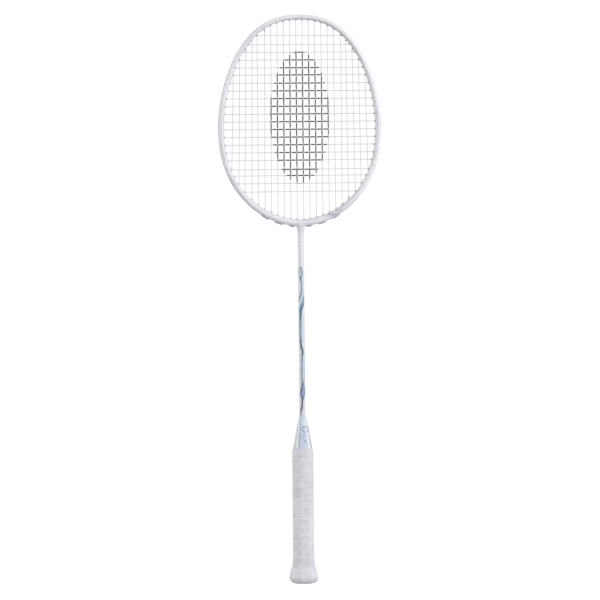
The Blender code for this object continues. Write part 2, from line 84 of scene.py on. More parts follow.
STRING_RADIUS = 0.34 * MM
MAINS_PER_SIDE = 11
MAIN_PITCH = 7.65 * MM
MAIN_FAN = 0.015
CROSS_COUNT = 21
CROSS_TOP_Z = 649 * MM
CROSS_PITCH = 9.12 * MM
BARREL_RADIUS = 1.35 * MM
BARREL_BORE = 0.55 * MM
BARREL_PROUD = 1.0 * MM
SHARED_HOLE_WITHIN = 4.6 * MM
STRAP_THICKNESS = 0.7 * MM
TWIN_THICKNESS = 1.2 * MM
STRAP_OVERHANG = 2.1 * MM
THROAT_HOLE_LEAN = math.radians(-20)
TWIN_PAIRS = 4
TOP_STRIP_MAINS = 6
SIDE_STRIPS = 3

SHAFT_RADIUS = SHAFT_BOX[1].x
VIEW_YAW = math.radians(-11)


# ---------------- mesh helpers


SHARP_BEND = math.radians(12)
BEND_SHARE = 0.45


def around(count):
    """Angles evenly round a full turn."""
    return [TURN * i / count for i in range(count)]


def linked(name, data):
    """A new object with this data, in the scene."""
    obj = bpy.data.objects.new(name, data)
    bpy.context.scene.collection.objects.link(obj)
    return obj


def mesh_of(name, bm):
    mesh = bpy.data.meshes.new(name)
    bm.to_mesh(mesh)
    bm.free()
    return mesh


def smooth_step(low, high, value):
    share = min(1.0, max(0.0, (value - low) / (high - low)))
    return share * share * (3 - 2 * share)


def skin(bm, rings, close_path=False, caps=True):
    """Quads between rings of equal length. Each end gets a flat face, unless close_path joins them."""
    made = [[bm.verts.new(point) for point in ring] for ring in rings]
    pairs = list(zip(made, made[1:]))
    if close_path:
        pairs.append((made[-1], made[0]))
    for low, high in pairs:
        for i in range(len(low)):
            j = (i + 1) % len(low)
            bm.faces.new((low[i], low[j], high[j], high[i]))
    if caps and not close_path:
        bm.faces.new(made[0])
        bm.faces.new(made[-1])
    return made


def turned(bm, centre, axis, profile, sides=16):
    """A closed ring turned about an axis. The profile is a list of (distance along the axis, radius)."""
    axis = axis.normalized()
    across = axis.orthogonal().normalized()
    other = axis.cross(across)
    spokes = [across * math.cos(a) + other * math.sin(a) for a in around(sides)]
    skin(bm, [[centre + axis * along + spoke * radius for spoke in spokes] for along, radius in profile],
         close_path=True)


def finish_mesh(name, bm, paint, slot, *nodes, angle=40):
    """Makes the piece, with its material, its body and the CAD nodes that it stands for. The slot argument is
    not used.
    """
    bmesh.ops.recalc_face_normals(bm, faces=bm.faces)
    mesh = mesh_of(name, bm)
    mesh.shade_smooth()
    mesh.set_sharp_from_angle(angle=math.radians(angle))
    mesh.materials.append(paint)
    obj = linked(name, mesh)
    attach(obj, "root")
    if nodes:
        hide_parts(*nodes)
    return obj


def apply_modifiers(obj):
    evaluated = obj.evaluated_get(bpy.context.evaluated_depsgraph_get())
    mesh = bpy.data.meshes.new_from_object(evaluated)
    obj.modifiers.clear()
    obj.data = mesh


def tube(bm, points, radius, sides=8):
    """A closed tube along the points, carried along without twist. radius(point) sizes its section."""
    points = [Vector(p) for p in points]
    side = None
    rings = []
    for i, point in enumerate(points):
        before = points[max(i - 1, 0)]
        after = points[min(i + 1, len(points) - 1)]
        along = (after - before).normalized()
        side = along.orthogonal() if side is None else side - along * side.dot(along)
        side.normalize()
        other = along.cross(side)
        size = radius(point)
        rings.append([point + (side * math.cos(a) + other * math.sin(a)) * size for a in around(sides)])
    skin(bm, rings)


def rounded(points, radius, steps=3):
    """The same route with each corner that is sharp enough turned into a short curve."""
    made = [points[0]]
    for before, corner, after in zip(points, points[1:], points[2:]):
        into, out = (corner - before), (after - corner)
        if into.length < 1e-7 or out.length < 1e-7 or into.angle(out) < SHARP_BEND:
            made.append(corner)
            continue
        reach = min(radius, into.length * BEND_SHARE, out.length * BEND_SHARE)
        start, end = corner - into.normalized() * reach, corner + out.normalized() * reach
        for k in range(steps + 1):
            t = k / steps
            made.append(start * (1 - t) ** 2 + corner * (2 * t * (1 - t)) + end * t ** 2)
    made.append(points[-1])
    return made


# ---------------- the hoop's line


SHOULDER = 2.7 * MM
OUTER_BEVEL, OUTER_STEPS = 2 / 1.75, 8
INNER_BEVEL, INNER_STEPS = 2 / 1.9, 10


class Hoop:
    """The hoop's centreline. An angle of 0 points to +X, 90 degrees to the head's top, -90 to the throat."""

    half_width = HEAD_HALF_WIDTH - HOOP_SIDE / 2
    rise = HEAD_RISE - HOOP_TOP / 2
    drop = HEAD_DROP - HOOP_THROAT / 2

    @classmethod
    def half(cls, upper):
        """Height of the upper or lower half, and the powers of X and Z in its outline."""
        return (cls.rise, *TOP_POWERS) if upper else (cls.drop, *LOW_POWERS)

    @classmethod
    def centre(cls, angle):
        """The point where the ray at this angle meets the outline, by Newton's method from outside it."""
        c, s = math.cos(angle), math.sin(angle)
        height, power_x, power_z = cls.half(s > 0)
        reach = 2 * height
        for _ in range(NEWTON_STEPS):
            share_x = abs(reach * c / cls.half_width) ** power_x
            share_z = abs(reach * s / height) ** power_z
            reach *= 1 - (share_x + share_z - 1) / (power_x * share_x + power_z * share_z)
        return Vector((reach * c, 0, HEAD_CENTRE_Z + reach * s))

    @classmethod
    def normal(cls, angle):
        """Unit vector in the plane of the strings, out of the head."""
        point = cls.centre(angle)
        z = point.z - HEAD_CENTRE_Z
        height, power_x, power_z = cls.half(z > 0)
        slope_x = power_x * abs(point.x / cls.half_width) ** (power_x - 1) / cls.half_width
        slope_z = power_z * abs(z / height) ** (power_z - 1) / height
        return Vector((math.copysign(slope_x, point.x), 0, math.copysign(slope_z, z))).normalized()

    @staticmethod
    def thickness(angle):
        """Size of the section in the plane of the strings."""
        s = math.sin(angle)
        if s > 0:
            return HOOP_SIDE + (HOOP_TOP - HOOP_SIDE) * smooth_step(0.3, 1.0, s)
        return HOOP_SIDE + (HOOP_THROAT - HOOP_SIDE) * smooth_step(0.72, 0.98, -s)

    @classmethod
    def groove(cls, angle):
        if math.sin(angle) > 0:
            return GROOVE_DEPTH
        share = smooth_step(GROOVE_FADE_TO, GROOVE_FADE_FROM, abs(cls.centre(angle).x))
        return GROOVE_DEPTH_THROAT + (GROOVE_DEPTH - GROOVE_DEPTH_THROAT) * share

    @classmethod
    def floor(cls, angle):
        """How far the groove's floor lies outside the centreline."""
        return cls.thickness(angle) / 2 - cls.groove(angle)

    @classmethod
    def at(cls, angle, out, y=0.0):
        point = cls.centre(angle) + cls.normal(angle) * out
        point.y = y
        return point

    @classmethod
    def outline(cls, angle):
        """The section as (out, y) pairs: a groove with soft lips outside, and softly bevelled faces."""
        t, d, floor = cls.thickness(angle) / 2, HOOP_DEPTH / 2, cls.floor(angle)
        lip = min(0.5 * MM, cls.groove(angle) * 0.45)
        half = [(floor, 0.0), (floor, 1.3 * MM), (floor + 0.1 * MM, 1.95 * MM),
                (floor + 0.45 * lip, 2.2 * MM), (t - lip, 2.3 * MM), (t - 0.3 * lip, 2.42 * MM),
                (t, SHOULDER)]
        for k in range(1, OUTER_STEPS):
            a = math.pi / 2 * k / OUTER_STEPS
            y = SHOULDER + (d - SHOULDER) * math.sin(a) ** OUTER_BEVEL
            half.append((t * math.cos(a) ** OUTER_BEVEL, y))
        for k in range(INNER_STEPS):
            a = math.pi / 2 * k / INNER_STEPS
            half.append((-t * math.sin(a) ** INNER_BEVEL, d * math.cos(a) ** INNER_BEVEL))
        return half + [(-t, 0.0)] + [(out, -y) for out, y in reversed(half[1:])]

    @classmethod
    def section(cls, angle):
        return [cls.at(angle, out, y) for out, y in cls.outline(angle)]


# ---------------- holes, as in the CAD frame


class Hole:
    """One grommet hole, on the side of +X for side 1 and of -X for side -1."""

    def __init__(self, angle, side, lean=0.0):
        self.angle, self.side = angle, side
        axis = Matrix.Rotation(lean, 3, "Y") @ Hoop.normal(angle)
        centre = Hoop.centre(angle)
        self.reach = (Hoop.thickness(angle) / 2 + BARREL_PROUD) / math.cos(lean)
        self.floor = Hoop.floor(angle) / math.cos(lean)
        radius = (centre - Vector((0, 0, HEAD_CENTRE_Z))).length
        mouth_angle = angle - math.tan(lean) * Hoop.floor(angle) / radius
        self.mouth_angle = mouth_angle if side > 0 else math.pi - mouth_angle
        self.centre = self.mirrored(centre)
        self.axis = self.mirrored(axis)
        self.tip = self.centre - self.axis * self.reach

    def mirrored(self, vector):
        return Vector((vector.x * self.side, vector.y, vector.z))

    def out(self, distance):
        return self.centre + self.axis * distance


def angle_where(coordinate, target, low, high, lean=0.0):
    """The angle from low to high, in degrees, at which the barrel's tip has this coordinate."""

    def value(angle):
        return getattr(Hole(angle, 1, lean).tip, coordinate) - target

    low, high = math.radians(low), math.radians(high)
    rising = value(high) > value(low)
    for _ in range(BISECTIONS):
        middle = (low + high) / 2
        if (value(middle) > 0) == rising:
            high = middle
        else:
            low = middle
    return low


def main_x(number, fan):
    return MAIN_PITCH * (number - 0.5) * (1 + fan)


def cross_z(number):
    return CROSS_TOP_Z - CROSS_PITCH * (number - 1)


def string_ends():
    """Angles of the right side's string ends: (angle, kind, number), from the throat to the top."""
    ends = []
    for number in range(1, MAINS_PER_SIDE + 1):
        lean = THROAT_HOLE_LEAN if number == 1 else 0.0
        ends.append((angle_where("x", main_x(number, MAIN_FAN), -90, -5, lean), "main_bottom", number))
        ends.append((angle_where("x", main_x(number, -MAIN_FAN), 90, 5), "main_top", number))
    for number in range(1, CROSS_COUNT + 1):
        ends.append((angle_where("z", cross_z(number), -80, 80), "cross", number))
    return sorted(ends)


def make_holes():
    """Holes of both sides, and the hole of each string end. Two ends that lie close together share one."""
    groups = []
    for end in string_ends():
        last = groups[-1][-1] if groups else None
        if last and len(groups[-1]) == 1:
            if (Hoop.centre(end[0]) - Hoop.centre(last[0])).length < SHARED_HOLE_WITHIN:
                groups[-1].append(end)
                continue
        groups.append([end])
    holes, hole_of = [], {}
    for side in (1, -1):
        for group in groups:
            angle = sum(end[0] for end in group) / len(group)
            innermost = group[0][1:] == ("main_bottom", 1)
            hole = Hole(angle, side, THROAT_HOLE_LEAN if innermost else 0.0)
            hole.ends = [end[1:] for end in group]
            holes.append(hole)
            for _, kind, number in group:
                hole_of[(kind, number, side)] = hole
    return holes, hole_of


def strap_thickness(hole):
    low = [kind for kind, number in hole.ends if kind == "main_bottom" and number <= 2 * TWIN_PAIRS]
    return TWIN_THICKNESS if low else STRAP_THICKNESS


def loop_height(hole):
    """Distance from the centreline at which a string crosses the grommet strap at this hole."""
    return hole.floor + GAP + strap_thickness(hole) + STRING_RADIUS


# ---------------- node material helper


class Paint:
    """A Principled material whose colour, roughness and bump are built from small node expressions."""

    def __init__(self, name):
        self.material = bpy.data.materials.new(name)
        self.material.use_nodes = True
        self.tree = self.material.node_tree
        self.shader = self.tree.nodes["Principled BSDF"]
        coordinates = self.tree.nodes.new("ShaderNodeTexCoord")
        self.place = coordinates.outputs["Object"]
        split = self.node("ShaderNodeSeparateXYZ", Vector=self.place)
        self.x, self.y, self.z = split.outputs

    def node(self, kind, settings=None, **inputs):
        made = self.tree.nodes.new(kind)
        for key, value in (settings or {}).items():
            setattr(made, key, value)
        for key, value in inputs.items():
            self.feed(made.inputs[key.replace("_", " ")], value)
        return made

    def feed(self, socket, value):
        if isinstance(value, bpy.types.NodeSocket):
            self.tree.links.new(value, socket)
        elif isinstance(value, bpy.types.Node):
            self.tree.links.new(value.outputs[0], socket)
        else:
            socket.default_value = value

    def set(self, **values):
        """Values for the shader's own sockets."""
        for key, value in values.items():
            self.feed(self.shader.inputs[key.replace("_", " ")], value)

    def math(self, operation, *values, clamp=False):
        made = self.tree.nodes.new("ShaderNodeMath")
        made.operation, made.use_clamp = operation, clamp
        for socket, value in zip(made.inputs, values):
            self.feed(socket, value)
        return made.outputs[0]

    def times(self, first, *others):
        for value in others:
            first = self.math("MULTIPLY", first, value)
        return first

    def less(self, first, second):
        return self.math("SUBTRACT", first, second)

    def squares(self, first, second):
        """The sum of both squares."""
        return self.math("ADD", self.times(first, first), self.times(second, second))

    def size(self, value):
        return self.math("ABSOLUTE", value)

    def over(self, first, second):
        return self.math("DIVIDE", first, second)

    def fall(self, value, low, high):
        """1 below low and 0 above high, with a soft step between them."""
        return self.less(1.0, self.step(value, low, high))

    def band(self, value, low, rise, fall, high):
        """1 from rise to fall, and 0 below low and above high."""
        return self.times(self.step(value, low, rise), self.fall(value, fall, high))

    def step(self, value, low, high):
        """0 below low and 1 above high, with a soft step between them."""
        made = self.node("ShaderNodeMapRange", {"interpolation_type": "SMOOTHSTEP", "clamp": True})
        for key, item in zip(("Value", "From Min", "From Max"), (value, low, high)):
            self.feed(made.inputs[key], item)
        return made.outputs["Result"]

    def noise(self, scale, detail=2.0, place=None, roughness=0.5):
        made = self.node("ShaderNodeTexNoise", Scale=scale, Detail=detail, Roughness=roughness,
                         Vector=place or self.place)
        return made.outputs[0]

    def stretched(self, x, y, z):
        """The place with each axis scaled, for grain that runs one way."""
        return self.node("ShaderNodeMapping", Vector=self.place, Scale=(x, y, z)).outputs[0]

    def mix(self, share, first, second):
        made = self.node("ShaderNodeMix", {"data_type": "RGBA"})
        self.feed(made.inputs[0], share)
        self.feed(made.inputs[6], first)
        self.feed(made.inputs[7], second)
        return made.outputs[2]

    def vary(self, value, low, high):
        made = self.node("ShaderNodeMapRange")
        for key, item in zip(("Value", "To Min", "To Max"), (value, low, high)):
            self.feed(made.inputs[key], item)
        return made.outputs["Result"]

    def curve(self, points, z_low, z_high):
        """A value in -1 to 1 that follows z through given (z in mm, value) points."""
        share = self.math("DIVIDE", self.less(self.z, z_low * MM), (z_high - z_low) * MM,
                          clamp=True)
        made = self.node("ShaderNodeFloatCurve")
        line = made.mapping.curves[0]
        spots = sorted(((z - z_low) / (z_high - z_low), value / 2 + 0.5) for z, value in points)
        line.points[0].location = spots[0]
        line.points[1].location = spots[-1]
        for spot in spots[1:-1]:
            line.points.new(*spot)
        made.mapping.update()
        self.feed(made.inputs["Value"], share)
        return self.less(self.times(made.outputs[0], 2.0), 1.0)

    def bump(self, height, strength, distance):
        made = self.node("ShaderNodeBump", Height=height, Strength=strength, Distance=distance)
        self.feed(self.shader.inputs["Normal"], made.outputs[0])

    def bands(self, wave_scale, direction="Z", distortion=0.0, place=None):
        made = self.node("ShaderNodeTexWave", {"bands_direction": direction}, Scale=wave_scale,
                         Distortion=distortion, Vector=place or self.place)
        return made.outputs[1]


def rgb(red, green, blue):
    """An sRGB colour from 0 to 255, as the linear values that a shader takes."""

    def linear(value):
        value /= 255
        return value / 12.92 if value <= 0.04045 else ((value + 0.055) / 1.055) ** 2.4

    return (linear(red), linear(green), linear(blue), 1.0)


# ---------------- materials


PEARL = rgb(229, 228, 233)
PEARL_SHADE = rgb(219, 218, 225)


def pearl(paint):
    """White that drifts faintly in tone, for the hoop and the shaft's top."""
    return paint.mix(paint.step(paint.noise(28, 3), 0.35, 0.65), PEARL, PEARL_SHADE)


def pearl_lacquer():
    """White pearl lacquer: faint drifting tone, fine flakes and a clear coat with a little orange peel."""
    paint = Paint("pearl_lacquer")
    flakes = paint.node("ShaderNodeTexVoronoi", Scale=5200.0, Vector=paint.place).outputs["Color"]
    flake = paint.times(paint.node("ShaderNodeSeparateColor", Color=flakes).outputs[0], 0.1)
    colour = paint.mix(flake, pearl(paint), rgb(244, 243, 250))
    paint.set(Base_Color=flourish(paint, colour), Roughness=paint.vary(paint.noise(900, 2), 0.2, 0.3))
    paint.set(Coat_Weight=0.35, Coat_Roughness=0.1, Specular_IOR_Level=0.35)
    paint.bump(paint.noise(420, 2), 0.03, 0.00005)
    return paint.material


def flourish(paint, base):
    """Fine violet curls that wander along the hoop's lower right, front and back."""
    lines = None
    for shift, swing, pitch in ((0.0, 2.3, 0.9), (1.9, 1.6, 1.7), (3.4, 2.6, 0.62), (5.0, 1.1, 2.6)):
        across = paint.less(hoop_radius(paint), paint.times(paint.math(
            "SINE", paint.math("ADD", paint.times(paint.x, pitch * 380.0), shift)), swing * MM))
        near = paint.fall(paint.size(across), 0.02 * MM, 0.34 * MM)
        lines = near if lines is None else paint.math("MAXIMUM", lines, near)
    along = paint.band(paint.x, 30 * MM, 34 * MM, 43 * MM, 56 * MM)
    low = paint.fall(paint.z, HEAD_CENTRE_Z - 60 * MM, HEAD_CENTRE_Z - 50 * MM)
    share = paint.times(lines, along, paint.times(low, 0.9))
    return paint.mix(share, base, rgb(66, 66, 124))


def hoop_radius(paint):
    """How far a point lies outside the hoop's centreline, near its lower half."""
    x = paint.over(paint.x, Hoop.half_width)
    z = paint.over(paint.less(paint.z, HEAD_CENTRE_Z), Hoop.drop)
    reach = paint.math("SQRT", paint.squares(x, z))
    return paint.times(paint.less(reach, 1.0), Hoop.drop)


# The shaft's marbled lines: height in mm, and how far round the visible half they lie, from -1 to 1.
EYE_LEFT = ((376, -0.2), (369, -0.62), (362, -0.15), (358, -0.05))
EYE_RIGHT = ((376, -0.2), (369, 0.25), (362, -0.08), (356, 0.08), (346, 0.02), (341, -0.3), (334, -0.7))
RIVER = ((342, 0.95), (336, 0.7), (332, 0.42), (327, 0.06), (318, -0.26), (310, -0.45), (300, -0.52),
         (292, -0.45), (287, -0.27), (280, -0.02), (275, 0.18), (270, 0.04), (262, 0.0), (240, 0.0),
         (236, 0.1))
RIVER_DARK_LOW = ((290, -0.4), (287, -0.27), (280, -0.02), (275, 0.18), (271, 0.06))
RIVER_DARK_HIGH = ((334, 0.56), (332, 0.42), (327, 0.06), (318, -0.26), (314, -0.36))
BANK = ((272, 0.9), (255, 0.8), (244, 0.74), (238, 0.3), (230, 0.86), (223, 0.5), (217, 0.08), (210, -0.12),
        (204, -0.38), (196, -0.6))
LOW_EYE = ((238, 0.1), (232, -0.1), (225, -0.36), (219, 0.0), (215, 0.02))
SHAFT_WHITE = rgb(220, 219, 227)
SHAFT_SHADE = rgb(210, 211, 223)
STEEL = rgb(138, 172, 196)
CYAN = rgb(70, 150, 184)
TEAL_GREY = rgb(130, 170, 181)
CORNFLOWER = rgb(126, 156, 204)


def shaft_lacquer():
    """White lacquer with navy lines that wander down the shaft and blue washes between them."""
    paint = Paint("shaft_lacquer")
    turned_y = paint.times(paint.y, -1.0)
    angle = paint.less(paint.math("ARCTAN2", paint.x, turned_y), VIEW_YAW)
    round_place = paint.math("WRAP", angle, math.pi / 2, -math.pi / 2)
    wobble = paint.times(paint.less(paint.noise(260, 2), 0.5), 0.22)
    across = paint.math("ADD", paint.over(round_place, math.pi / 2), wobble)
    swell = paint.vary(paint.noise(210, 2), 0.3, 1.7)

    def offset(points):
        low, high = min(z for z, _ in points), max(z for z, _ in points)
        return paint.less(across, paint.curve(points, low, high)), low, high

    def within(low, high, soft):
        return paint.band(paint.z, *((z + side * soft) * MM for z in (low, high) for side in (-1, 1)))

    def wash(colour, left, right, low, high, strength, soft=4.0):
        share = paint.times(paint.step(left, -0.05, 0.12), paint.fall(right, -0.1, 0.25))
        share = paint.times(share, within(low, high, soft), strength)
        return lambda base: paint.mix(share, base, colour)

    def line(points, half_width, colour, strength, soft=2.0):
        away, low, high = offset(points)
        inner = paint.times(swell, half_width)
        outer = paint.math("ADD", inner, 0.1)
        share = paint.fall(paint.size(away), inner, outer)
        share = paint.times(share, within(low, high, soft), strength)
        return lambda base: paint.mix(share, base, colour)

    eye_left, eye_right = offset(EYE_LEFT)[0], offset(EYE_RIGHT)[0]
    river, bank, low_eye = offset(RIVER)[0], offset(BANK)[0], offset(LOW_EYE)[0]

    def beside(curve, shift):
        return paint.less(curve, shift)

    cloud = paint.vary(paint.noise(180, 3), 0.7, 1.0)
    streak = paint.step(paint.noise(420, 2, place=paint.stretched(1, 1, 0.35)), 0.4, 0.62)
    upper = paint.step(paint.z, STEM_END_Z - 60 * MM, STEM_END_Z)
    lower = paint.mix(paint.noise(60, 2), SHAFT_WHITE, SHAFT_SHADE)
    colour = paint.mix(upper, lower, pearl(paint))
    eye_blue = paint.mix(streak, rgb(74, 106, 152), CORNFLOWER)
    layers = (
        wash(rgb(176, 204, 212), eye_left, eye_right, 362, 376, 0.8),
        wash(rgb(196, 210, 226), eye_right, beside(eye_right, 0.9), 338, 366, 0.8),
        wash(CYAN, beside(river, -0.7), river, 320, 343, 0.9, 5.0),
        wash(TEAL_GREY, river, beside(river, 0.5), 288, 319, 0.95),
        wash(rgb(196, 206, 230), beside(river, 0.5), beside(river, 1.2), 286, 312, 0.7),
        wash(rgb(140, 190, 212), river, beside(river, 0.4), 262, 282, 0.8),
        wash(STEEL, river, beside(river, 0.3), 238, 272, 0.9, 4.0),
        wash(rgb(198, 210, 228), beside(river, 0.3), bank, 240, 270, 0.8, 5.0),
        wash(eye_blue, low_eye, bank, 216, 238, 0.95, 2.0),
        wash(rgb(178, 182, 200), bank, beside(bank, 0.5), 196, 214, 0.7),
        line(EYE_LEFT, 0.05, rgb(92, 112, 128), 0.9),
        line(EYE_RIGHT, 0.08, rgb(58, 78, 94), 0.95),
        line(RIVER, 0.05, rgb(60, 96, 120), 0.85),
        line(RIVER_DARK_LOW, 0.15, rgb(16, 30, 54), 0.98),
        line(RIVER_DARK_HIGH, 0.14, rgb(22, 66, 92), 0.95),
        line(BANK, 0.06, rgb(66, 96, 132), 0.85),
        line(LOW_EYE, 0.1, rgb(34, 54, 96), 0.95),
        line(((220, 0.25), (217, 0.08), (210, -0.12), (205, -0.34)), 0.12, rgb(20, 24, 44), 0.9),
        line(((208, -0.2), (204, -0.38), (196, -0.6)), 0.03, rgb(58, 54, 72), 0.85),
    )
    for layer in layers:
        colour = layer(colour)
    colour = paint.mix(paint.times(cloud, 0.12), colour, rgb(236, 236, 244))
    paint.set(Base_Color=colour, Roughness=paint.vary(paint.noise(700, 2), 0.16, 0.26))
    paint.set(Coat_Weight=0.35, Coat_Roughness=0.08, Specular_IOR_Level=0.35)
    paint.bump(paint.noise(500, 2), 0.05, 0.00004)
    return paint.material


def cone_lacquer():
    """Pale blue lacquer, whiter on the side facets, with trim lines, plain rings and dashes."""
    paint = Paint("cone_lacquer")
    depth = paint.math("MAXIMUM", paint.size(paint.y), 0.5 * MM)
    lean = paint.over(paint.x, depth)
    off_front = paint.math("MAXIMUM", paint.step(lean, 0.46, 0.54), paint.fall(lean, -0.84, -0.74))
    streak = paint.step(paint.noise(300, 3, place=paint.stretched(1, 1, 0.3)), 0.45, 0.7)
    base = paint.mix(streak, rgb(200, 208, 226), rgb(178, 190, 214))
    colour = paint.mix(off_front, base, paint.mix(streak, rgb(229, 233, 237), rgb(216, 224, 233)))
    top = CONE_BOX[1].z
    upper = paint.times(paint.step(paint.z, top - 14 * MM, top), 0.6)
    colour = paint.mix(upper, colour, rgb(200, 218, 224))

    def near(distance, half_width):
        away = paint.size(distance)
        return paint.fall(away, half_width, half_width * 1.8)

    def between(value, low, high):
        return paint.times(paint.math("GREATER_THAN", value, low), paint.math("LESS_THAN", value, high))

    for place, half_width, strength in ((1.95, 0.24, 0.85), (-2.3, 0.3, 0.5), (-0.7, 0.1, 0.4)):
        trim = near(paint.less(lean, place), half_width)
        colour = paint.mix(paint.times(trim, strength), colour, rgb(108, 120, 142))
    forward = paint.math("LESS_THAN", paint.y, 0.0)
    for x, drop, half_width, half_height in ((2.2, 15.6, 4.2, 3.2), (-0.6, 14.2, 1.5, 2.4)):
        across = paint.over(paint.less(paint.x, x * MM), half_width * MM)
        along = paint.over(paint.less(paint.z, top - drop * MM), half_height * MM)
        reach = paint.math("SQRT", paint.squares(across, along))
        curl = paint.times(near(paint.less(reach, 1.0), 0.07), forward)
        colour = paint.mix(paint.times(curl, 0.85), colour, rgb(70, 92, 148))
    for x, high, low in ((0.3, 19.0, 25.0), (0.9, 28.5, 31.0)):
        stroke = near(paint.less(paint.x, x * MM), 0.22 * MM)
        stroke = paint.times(stroke, between(paint.z, top - low * MM, top - high * MM), forward)
        colour = paint.mix(paint.times(stroke, 0.8), colour, rgb(84, 100, 146))
    paint.set(Base_Color=colour, Roughness=paint.vary(paint.noise(600, 2), 0.2, 0.32))
    paint.set(Coat_Weight=0.35, Coat_Roughness=0.1, Specular_IOR_Level=0.35)
    paint.bump(paint.noise(480, 2), 0.06, 0.00005)
    return paint.material


def string_nylon():
    """White braided string, inked black inside a plain upright oval in the middle of the bed."""
    paint = Paint("string_nylon")
    x = paint.over(paint.x, INK_HALF_WIDTH)
    z = paint.over(paint.less(paint.z, INK_CENTRE_Z), INK_HALF_HEIGHT)
    reach = paint.squares(x, z)
    rough_edge = paint.times(paint.noise(900, 2), 0.05)
    inked = paint.fall(paint.math("ADD", reach, rough_edge), 1.01, 1.04)
    inked = paint.times(inked, paint.vary(paint.noise(1500, 3), 0.93, 1.0))
    inked = paint.times(inked, paint.math("LESS_THAN", paint.size(paint.y), 1.2 * MM))
    base = paint.mix(paint.noise(1200, 2), rgb(210, 210, 214), rgb(197, 197, 202))
    paint.set(Base_Color=paint.mix(inked, base, rgb(14, 14, 16)))
    paint.set(Roughness=paint.vary(paint.noise(2500, 2), 0.35, 0.5))
    braid = paint.times(paint.bands(1500, "DIAGONAL"), paint.bands(1500, "DIAGONAL",
                       place=paint.stretched(-1, 1, 1)))
    paint.bump(braid, 0.25, 0.00006)
    return paint.material


def grommet_plastic():
    """Clouded white nylon with fine mould grain."""
    paint = Paint("grommet_plastic")
    colour = paint.mix(paint.noise(500, 3), rgb(190, 189, 198), rgb(172, 170, 183))
    paint.set(Base_Color=colour, Roughness=paint.vary(paint.noise(2000, 2), 0.35, 0.55))
    paint.bump(paint.noise(3000, 2), 0.12, 0.00005)
    return paint.material


def grip_leather(name, light, dark, grain=1.0, wound=False):
    """Embossed polyurethane: fine pores, shallow creases, soiling, and where it is wound a painted highlight on
    each lap's edge and painted shade in its gap.
    """
    paint = Paint(name)
    pores = paint.node("ShaderNodeTexVoronoi", {"feature": "DISTANCE_TO_EDGE"}, Scale=1500.0,
                       Vector=paint.place).outputs[0]
    pore = paint.step(pores, 0.02, 0.22)
    creases = paint.noise(420, 4, place=paint.stretched(1, 1, 1.8))
    soil = paint.step(paint.noise(90, 4, place=paint.stretched(1, 1, 1.6)), 0.38, 0.68)
    base = paint.mix(soil, light, dark)
    # Where it is wound: a painted highlight on the lap edges and painted shade in the gaps.
    if wound:
        base = lap_highlight_and_gap_shade(paint, base)
    colour = paint.mix(paint.times(paint.less(1.0, pore), 0.25), base, rgb(184, 184, 192))
    paint.set(Base_Color=colour, Roughness=paint.vary(creases, 0.55, 0.8), Sheen_Weight=0.15)
    height = paint.math("ADD", paint.times(pore, 0.6), creases)
    paint.bump(height, 0.45 * grain, 0.00015)
    return paint.material


def lap_highlight_and_gap_shade(paint, base):
    """A painted highlight along the raised edge and painted shade in the gap of each turn of the band, where
    wrap_lift() puts them.
    """
    angle = paint.math("ARCTAN2", paint.y, paint.x)
    turn = paint.over(angle, TURN)
    place = paint.math("FRACT", paint.less(paint.over(paint.z, WRAP_PITCH * MM), turn))
    patchy = paint.step(paint.noise(140, 2), 0.35, 0.6)
    # Painted highlight: a pale, patchy band on the raised edge of each turn.
    lap_highlight = paint.band(place, 0.03, 0.08, 0.12, 0.24)
    colour = paint.mix(paint.times(lap_highlight, paint.times(patchy, 0.5)), base, rgb(244, 244, 246))
    # Painted shade: a darker band in the narrow gap between turns.
    gap = paint.math("MAXIMUM", paint.fall(place, 0.0, 0.03),
                     paint.step(place, 0.9, 1.0))
    return paint.mix(paint.times(gap, 0.3), colour, rgb(182, 180, 190))


def cap_plastic():
    return grip_leather("cap_leather", rgb(226, 226, 232), rgb(217, 216, 223), 0.7)


def badge_film():
    """Glossy film disc with plain printed rings."""
    paint = Paint("badge_film")
    reach = paint.math("SQRT", paint.squares(paint.x, paint.y))
    ring = paint.band(reach, 5.6 * MM, 5.7 * MM, 6.6 * MM, 6.7 * MM)
    base = paint.mix(paint.noise(200, 2), rgb(205, 210, 228), rgb(196, 202, 222))
    paint.set(Base_Color=paint.mix(ring, base, rgb(112, 132, 184)), Roughness=paint.vary(
        paint.noise(1500, 2), 0.14, 0.24), Coat_Weight=0.5)
    paint.bump(paint.noise(900, 2), 0.04, 0.00004)
    return paint.material


def handle_wood():
    """Pale raw wood with grain along Z."""
    paint = Paint("handle_wood")
    grain = paint.noise(900, 5, place=paint.stretched(1, 1, 0.03))
    rings = paint.bands(160, "X", 6.0, place=paint.stretched(1, 1, 0.08))
    colour = paint.mix(rings, rgb(206, 170, 122), rgb(186, 146, 98))
    colour = paint.mix(paint.times(grain, 0.5), colour, rgb(150, 112, 72))
    paint.set(Base_Color=colour, Roughness=paint.vary(grain, 0.6, 0.85))
    paint.bump(grain, 0.3, 0.0001)
    return paint.material


def core_plastic():
    """Black carbon-filled moulding with faint flow marks."""
    paint = Paint("core_plastic")
    flow = paint.noise(300, 4, place=paint.stretched(1, 1, 0.3))
    colour = paint.mix(flow, rgb(36, 36, 40), rgb(52, 52, 56))
    paint.set(Base_Color=colour, Roughness=paint.vary(flow, 0.4, 0.65))
    paint.bump(paint.noise(1800, 3), 0.15, 0.00006)
    return paint.material


def tack_steel():
    """Drawn steel with fine scratches."""
    paint = Paint("tack_steel")
    scratch = paint.noise(2200, 3, place=paint.stretched(1, 1, 0.1))
    paint.set(Base_Color=paint.mix(scratch, rgb(176, 176, 180), rgb(140, 140, 146)), Metallic=1.0,
              Roughness=paint.vary(scratch, 0.25, 0.5))
    paint.bump(scratch, 0.1, 0.00003)
    return paint.material


# ---------------- head


HOOP_STEPS = 420
INK_HALF_WIDTH = 36 * MM
INK_HALF_HEIGHT = 78 * MM
INK_CENTRE_Z = 554 * MM
INK_THICKNESS = 0.38 * MM

